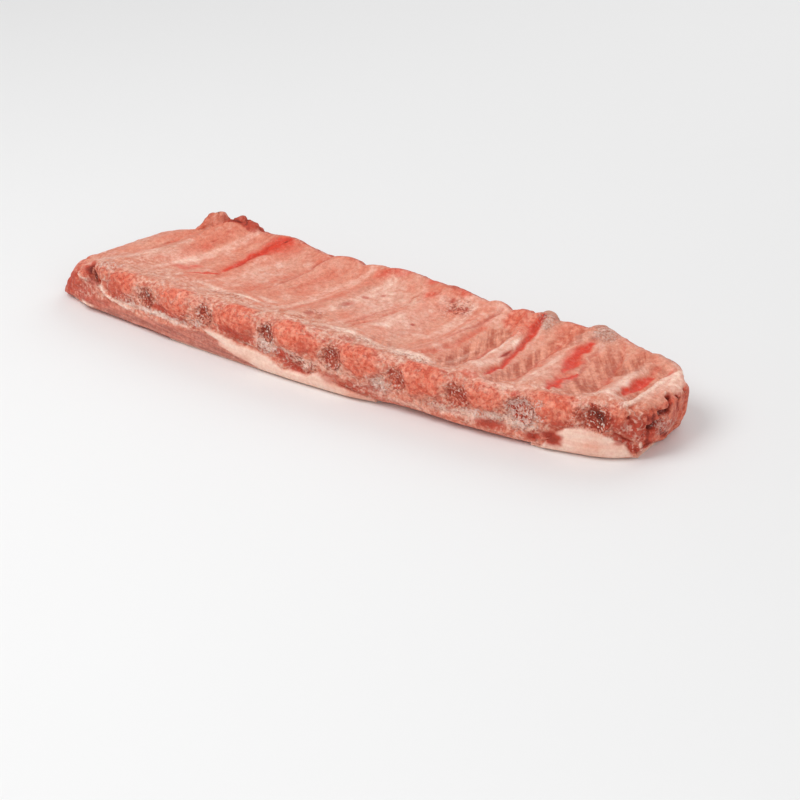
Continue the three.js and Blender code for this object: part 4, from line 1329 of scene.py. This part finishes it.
def pad_grid(pad):
    """Closed sections of one fat pad. Each runs down the near wall, round the foot and
    under the belly to where the pad ends, and back over the pad's dome, which is raised a
    little into the meat. The wall's upper rim thins out over the meat. Returns points,
    places, shares, outward normals, and which points are outside."""
    reach = np.cos(np.linspace(math.pi, 0, PAD_STATIONS))
    half = np.where(reach < 0, pad["peak"] - pad["from"], pad["to"] - pad["peak"])
    place = np.minimum(pad["peak"] + reach * half * PAD_REACH, LAST_PLACE)[:, None]
    line = ruling(place[:, 0])
    length = line[2][:, None]
    radius = NEAR_FOOT_RADIUS
    thick = np.maximum(pad_thickness(pad, place, 0.0), PAD_THINNEST)
    end = np.sqrt(np.clip(thick / pad["thick"], 0, 1)) * FAT_REACH * length
    end = np.maximum(end, radius + 1 * MM)
    foot = bottom_height(place, radius / length)
    rim = PAD_RIM * ramp(thick, 0, 3 * MM)
    top = bottom_height(place, 0.0) + thick + rim
    across, height, turned, outside = [], [], [], []

    def add(a, h, turn, out):
        shape = (len(place), max(np.shape(v)[-1] for v in (a, h, turn) if np.ndim(v)))
        for rows, value in ((across, a), (height, h), (turned, turn), (outside, out)):
            rows.append(np.broadcast_to(value, shape))

    wall_share = np.linspace(0, 1, PAD_WALL_POINTS)[None]
    wall = mix(np.maximum(top, foot + radius), foot + radius, wall_share)
    inset = mix(-PAD_PROUD, PAD_INSET, ramp(wall - top, -rim - 0.3 * MM, 0))
    add(inset * ramp(rim, 0, 0.5 * MM), wall, -math.pi, 1.0)
    foot_share = (np.arange(PAD_FOOT_POINTS) + 0.5)[None] / PAD_FOOT_POINTS
    turn = mix(foot_angle(top - foot), -math.pi / 2, foot_share)
    add(radius * (1 + np.cos(turn)), foot + radius * (1 + np.sin(turn)), turn, 1.0)
    a = mix(radius, end, np.linspace(0, 1, PAD_FLOOR_POINTS)[None])
    add(a, bottom_height(place, a / length), -math.pi / 2, 1.0)
    a = mix(end, PAD_DOME_START, np.linspace(0, 1, PAD_DOME_POINTS)[None, 1:-1])
    dome = bottom_height(place, a / length) + np.maximum(pad_thickness(pad, place, a / length), 0)
    overlap = PAD_OVERLAP * ramp(a / end, 0, 0.1) * (1 - ramp(a / end, 0.8, 1))
    add(a, dome + overlap, math.pi / 2, 0.0)
    across, height, turned, outside = (np.concatenate(rows, 1)[:, ::-1]
                                       for rows in (across, height, turned, outside))
    points, places, share = on_plan(place, line, across, height)
    normal = line[1][:, None] * np.cos(turned)[..., None]
    normal[..., 2] = np.sin(turned)
    return points, places, share, normal, outside


def bone_grid(rib):
    """Closed rod of one rib bone: oval rings along the rib, then at the sawn end rings
    drawn in over the cut face, which is sunk and pitted inside its shell, and at the far
    end rings drawn in over a dome. Returns points, and for each ring how far it is on the
    shell, whether it is on the face, and its share."""
    start, direction, length = ruling(np.array(float(rib)))
    far = length - (KNOB_STOP if rib in BARE_KNOBS else BONE_STOP)
    turn = np.linspace(0, 2 * math.pi, BONE_SIDES, endpoint=False)
    face = np.linspace(FACE_SMALLEST, 1, END_RINGS)
    body = np.linspace(0, 1, BONE_RINGS)[1:-1]
    dome = np.cos(np.linspace(0, math.pi / 2, DOME_RINGS)[:-1])
    scale = np.concatenate([face, np.ones(len(body)), dome])
    sunk = np.concatenate([np.full(len(face), FACE_DEPTH), mix(FACE_DEPTH, far - BONE_DOME, body),
                           far - BONE_DOME + BONE_DOME * np.sqrt(1 - np.minimum(dome, 1) ** 2)])
    shell = np.concatenate([ramp(face, 0.5, 1), np.ones(len(body) + len(dome))])
    at_face = np.concatenate([np.ones(len(face)), np.zeros(len(body) + len(dome))])
    centre, half = bone_centre_height(rib, sunk, length)
    wobble = 1 + sum(size * np.cos(waves * turn + phase * rib) for size, waves, phase in WOBBLES)
    circle = scale[:, None] * wobble[None]
    wide = (BONE_WIDTH[rib - 1] / 2 * circle * np.cos(turn))[..., None]
    points = start + direction * sunk[:, None, None] + side_of(direction) * wide
    points[..., 2] = centre[:, None] + half[:, None] * circle * np.sin(turn)
    rough = grain(points, 2.6 * MM, 90 + rib, 2)
    pit = (PIT_DEPTH * (1 - shell) * at_face)[:, None] * (1 + 0.8 * rough)
    depth = pit + PIT_GRAIN * rough * at_face[:, None]
    return points + direction * depth[..., None], shell, at_face, sunk / length


def bone_masks(rib, shell, at_face, share):
    """Masks of one bone's rings by its own frost, sponge, dark hollow and pink rim. The hollow is
    darker in its upper half, which is painted shade under the hollow's upper rim."""
    turn = np.linspace(0, 2 * math.pi, BONE_SIDES, endpoint=False)
    # Painted shade: the hollow darker towards the top of the sunk face.
    upper = mix(0.4, 1, 0.5 + 0.5 * np.sin(turn + 0.6))[None]
    ones = np.ones((len(shell), BONE_SIDES))
    rings = {"shell": SHELL[rib - 1] * shell, "deep": DEEP[rib - 1] * (1 - shell) * at_face,
             "sponge": SPONGE[rib - 1] * at_face, "sheath": ramp(share, 0.5, 0.8),
             "rime": RIME[rib - 1] * mix(0.6, 1, at_face)}
    masks = {key: values[:, None] * ones for key, values in rings.items()}
    masks["deep"] = masks["deep"] * upper
    return masks


def finish_piece(piece, slot, *nodes):
    """Hands a piece to the frame: it rides on the rack and stands for those nodes."""
    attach(piece, "root")
    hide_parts(*nodes)


# ---- Settings

def colour_property(name, description, default):
    return bpy.props.FloatVectorProperty(name=name, description=description, default=default,
                                         subtype="COLOR", size=3, min=0, max=1)


def length_property(name, description, default):
    return bpy.props.FloatProperty(name=name, description=description, default=default,
                                   subtype="DISTANCE", unit="LENGTH", min=0, precision=5)


def factor_property(name, description, default):
    return bpy.props.FloatProperty(name=name, description=description, default=default,
                                   subtype="FACTOR", min=0, max=3)


class RackShape(bpy.types.PropertyGroup):
    """Heights of the relief on the rack's skin."""
    wrinkle_height: length_property("Wrinkles", "Height of the membrane's wrinkles", 0.5 * MM)
    fold_scale: factor_property("Fold height", "Share of each raised fold's height", 1.0)
    crease_scale: factor_property("Crease depth", "Share of each crease's depth", 1.0)
    crust_height: length_property("Crust", "Height of the crumbled tissue", 0.5 * MM)
    lobe_height: length_property("Lobes", "How far the meat bulges between the bones", 1.6 * MM)
    fold_depth: length_property("Folds", "Depth of the torn folds at the right end", 1.7 * MM)


class RackColours(bpy.types.PropertyGroup):
    """Colours of the meat, fat and bone."""
    membrane: colour_property("Membrane", "Pale membrane on the bone side", (0.755, 0.348, 0.246))
    membrane_pink: colour_property("Pink membrane", "Membrane over meat", (0.73, 0.252, 0.164))
    # Painted shade: this colour also fills the sunk creases.
    flush: colour_property("Flush", "Pink along the creases", (0.68, 0.16, 0.095))
    crust: colour_property("Crust", "Brownish crumbled tissue", (0.58, 0.2, 0.12))
    crust_pale: colour_property("Pale crust", "Dried white crumbs", (0.82, 0.49, 0.38))
    lean: colour_property("Lean", "Muscle between the ribs", (0.47, 0.11, 0.06))
    lean_light: colour_property("Light lean", "Light fibres of the muscle", (0.8, 0.335, 0.225))
    grey: colour_property("Grey", "Grey-pink bare skin", (0.56, 0.27, 0.2))
    coral: colour_property("Coral", "Fresh meat at the sawn edge", (0.74, 0.138, 0.074))
    coral_light: colour_property("Light coral", "Grains in the fresh meat", (0.82, 0.3, 0.2))
    red: colour_property("Red", "Deep red meat", (0.5, 0.065, 0.036))
    silver: colour_property("Silver skin", "Mauve skin along the foot", (0.44, 0.145, 0.108))
    silver_light: colour_property("Light silver skin", "Pale fibres of it", (0.7, 0.25, 0.18))
    fat: colour_property("Fat", "White fat", (0.95, 0.67, 0.55))
    fat_pink: colour_property("Pink fat", "Pink veils in the fat", (0.8, 0.37, 0.27))
    blood: colour_property("Blood", "Red streaks", (0.7, 0.056, 0.028))
    # Painted shade: the clot colour also darkens the sunk crevices, pockets and creases.
    clot_and_shade: colour_property("Clot", "Dark crevices", (0.13, 0.016, 0.01))
    frost: colour_property("Frost", "Freezer frost", (0.86, 0.64, 0.56))
    marrow: colour_property("Marrow", "Dark pores of the bone", (0.29, 0.042, 0.026))
    marrow_light: colour_property("Light marrow", "Walls of the marrow's pores", (0.86, 0.25, 0.16))
    bone: colour_property("Bone", "Pink rim of a sawn bone", (0.68, 0.28, 0.2))


class StageSettings(bpy.types.PropertyGroup):
    """Floor and light."""
    floor_colour: colour_property("Floor", "Colour of the floor", (0.86, 0.86, 0.86))
    key_power: bpy.props.FloatProperty(name="Key light", description="Power of the large light",
                                       default=5.6, min=0, unit="POWER")
    sky: bpy.props.FloatProperty(name="Sky", description="Strength of the even light all round",
                                 default=0.5, min=0)


class RIBS_OT_meat(bpy.types.Operator):
    """Make the rack's meat with its membrane, folds and sawn wall"""
    bl_idname = "ribs.meat"
    bl_label = "Meat"

    def execute(self, context):
        scene = context.scene
        points, place, share = add_caps(*rack_grid())
        normal = grid_normals(points)
        relief, masks = rack_features(points, place, share, normal, scene.rack_shape)
        points = above_floor(points + normal * relief[..., None])
        piece = make_skin("rack_meat", points, meat_material(scene.rack_colours), masks)
        finish_piece(piece, "meat", "meat")
        return {"FINISHED"}


class RIBS_OT_fat(bpy.types.Operator):
    """Make the two pads of outer fat under the rack"""
    bl_idname = "ribs.fat"
    bl_label = "Outer fat"

    def execute(self, context):
        scene = context.scene
        material = meat_material(scene.rack_colours)
        material.name = "outer_fat"
        for name, pad in FAT_PADS.items():
            points, place, share, normal, outside = pad_grid(pad)
            relief, masks = rack_features(points, place, share, normal, scene.rack_shape, True)
            points = above_floor(points + normal * (relief * outside)[..., None])
            piece = make_skin(f"{name}_pad", points, material, masks)
            finish_piece(piece, "fat", name)
        return {"FINISHED"}


class RIBS_OT_bones(bpy.types.Operator):
    """Make the nine rib bones with their sawn ends"""
    bl_idname = "ribs.bones"
    bl_label = "Rib bones"

    def execute(self, context):
        material = bone_material(context.scene.rack_colours)
        for rib in range(1, LAST_PLACE):
            points, *rings = bone_grid(rib)
            piece = make_skin(f"bone_{rib}", points, material, bone_masks(rib, *rings))
            finish_piece(piece, "bone", f"rib_bone_{rib}")
        return {"FINISHED"}


class RIBS_OT_stage(bpy.types.Operator):
    """Make the floor, the lights and the camera"""
    bl_idname = "ribs.stage"
    bl_label = "Stage"

    def execute(self, context):
        scene = context.scene
        settings = scene.rack_stage
        corners = np.array([(x * FLOOR_HALF, y * FLOOR_HALF, FLOOR_LEVEL)
                            for x, y in ((-1, -1), (1, -1), (1, 1), (-1, 1))])
        floor = make_piece("floor", corners, [np.array([[0, 1, 2, 3]])],
                           floor_material(settings.floor_colour))

        world = bpy.data.worlds.new("soft_sky")
        world.use_nodes = True
        background = world.node_tree.nodes["Background"].inputs
        background["Color"].default_value = (1, 1, 1, 1)
        background["Strength"].default_value = settings.sky
        scene.world = world
        for name, (at, size, share) in LIGHTS.items():
            light = bpy.data.lights.new(name, "AREA")
            light.shape = "DISK"
            light.size = size
            light.energy = settings.key_power * share
            lamp = bpy.data.objects.new(name, light)
            lamp.location = at
            lamp.rotation_euler = (-Vector(at)).to_track_quat("-Z", "Y").to_euler()
            scene.collection.objects.link(lamp)

        azimuth, elevation = (math.radians(CAMERA[k]) for k in ("azimuth", "elevation"))
        back = Vector((math.sin(azimuth) * math.cos(elevation),
                       -math.cos(azimuth) * math.cos(elevation), math.sin(elevation)))
        camera = bpy.data.objects.new("camera", bpy.data.cameras.new("camera"))
        camera.location = Vector(PLAN_CENTRE) + CAMERA["distance"] * back
        camera.rotation_euler = (-back).to_track_quat("-Z", "Y").to_euler()
        camera.data.sensor_width = SENSOR_WIDTH
        camera.data.lens = CAMERA["focal"]
        scene.collection.objects.link(camera)
        scene.camera = camera
        scene.view_settings.view_transform = "Standard"
        return {"FINISHED"}


class RIBS_PT_panel(bpy.types.Panel):
    """Buttons that make the rack"""
    bl_idname = "RIBS_PT_panel"
    bl_label = "Rack of Pork Ribs"
    bl_space_type = "VIEW_3D"
    bl_region_type = "UI"
    bl_category = "Ribs"

    def draw(self, context):
        scene = context.scene
        for operator in OPERATORS:
            self.layout.operator(operator.bl_idname)
        for settings in (scene.rack_shape, scene.rack_colours, scene.rack_stage):
            box = self.layout.box()
            for key in settings.__annotations__:
                box.prop(settings, key)


OPERATORS = (RIBS_OT_stage, RIBS_OT_meat, RIBS_OT_fat, RIBS_OT_bones)
SETTINGS = {"rack_shape": RackShape, "rack_colours": RackColours, "rack_stage": StageSettings}


def register():
    for item in (*SETTINGS.values(), *OPERATORS, RIBS_PT_panel):
        bpy.utils.register_class(item)
    for key, item in SETTINGS.items():
        setattr(bpy.types.Scene, key, bpy.props.PointerProperty(type=item))


def unregister():
    for key in SETTINGS:
        delattr(bpy.types.Scene, key)
    for item in reversed((*SETTINGS.values(), *OPERATORS, RIBS_PT_panel)):
        bpy.utils.unregister_class(item)


def main():
    """Makes every piece."""
    register()
    for make in (stain_group, speckle_group, fibre_group, sponge_group, vein_group):
        make()
    for operator in OPERATORS:
        category, name = operator.bl_idname.split(".")
        getattr(getattr(bpy.ops, category), name)()


if __name__ == "__main__":
    main()
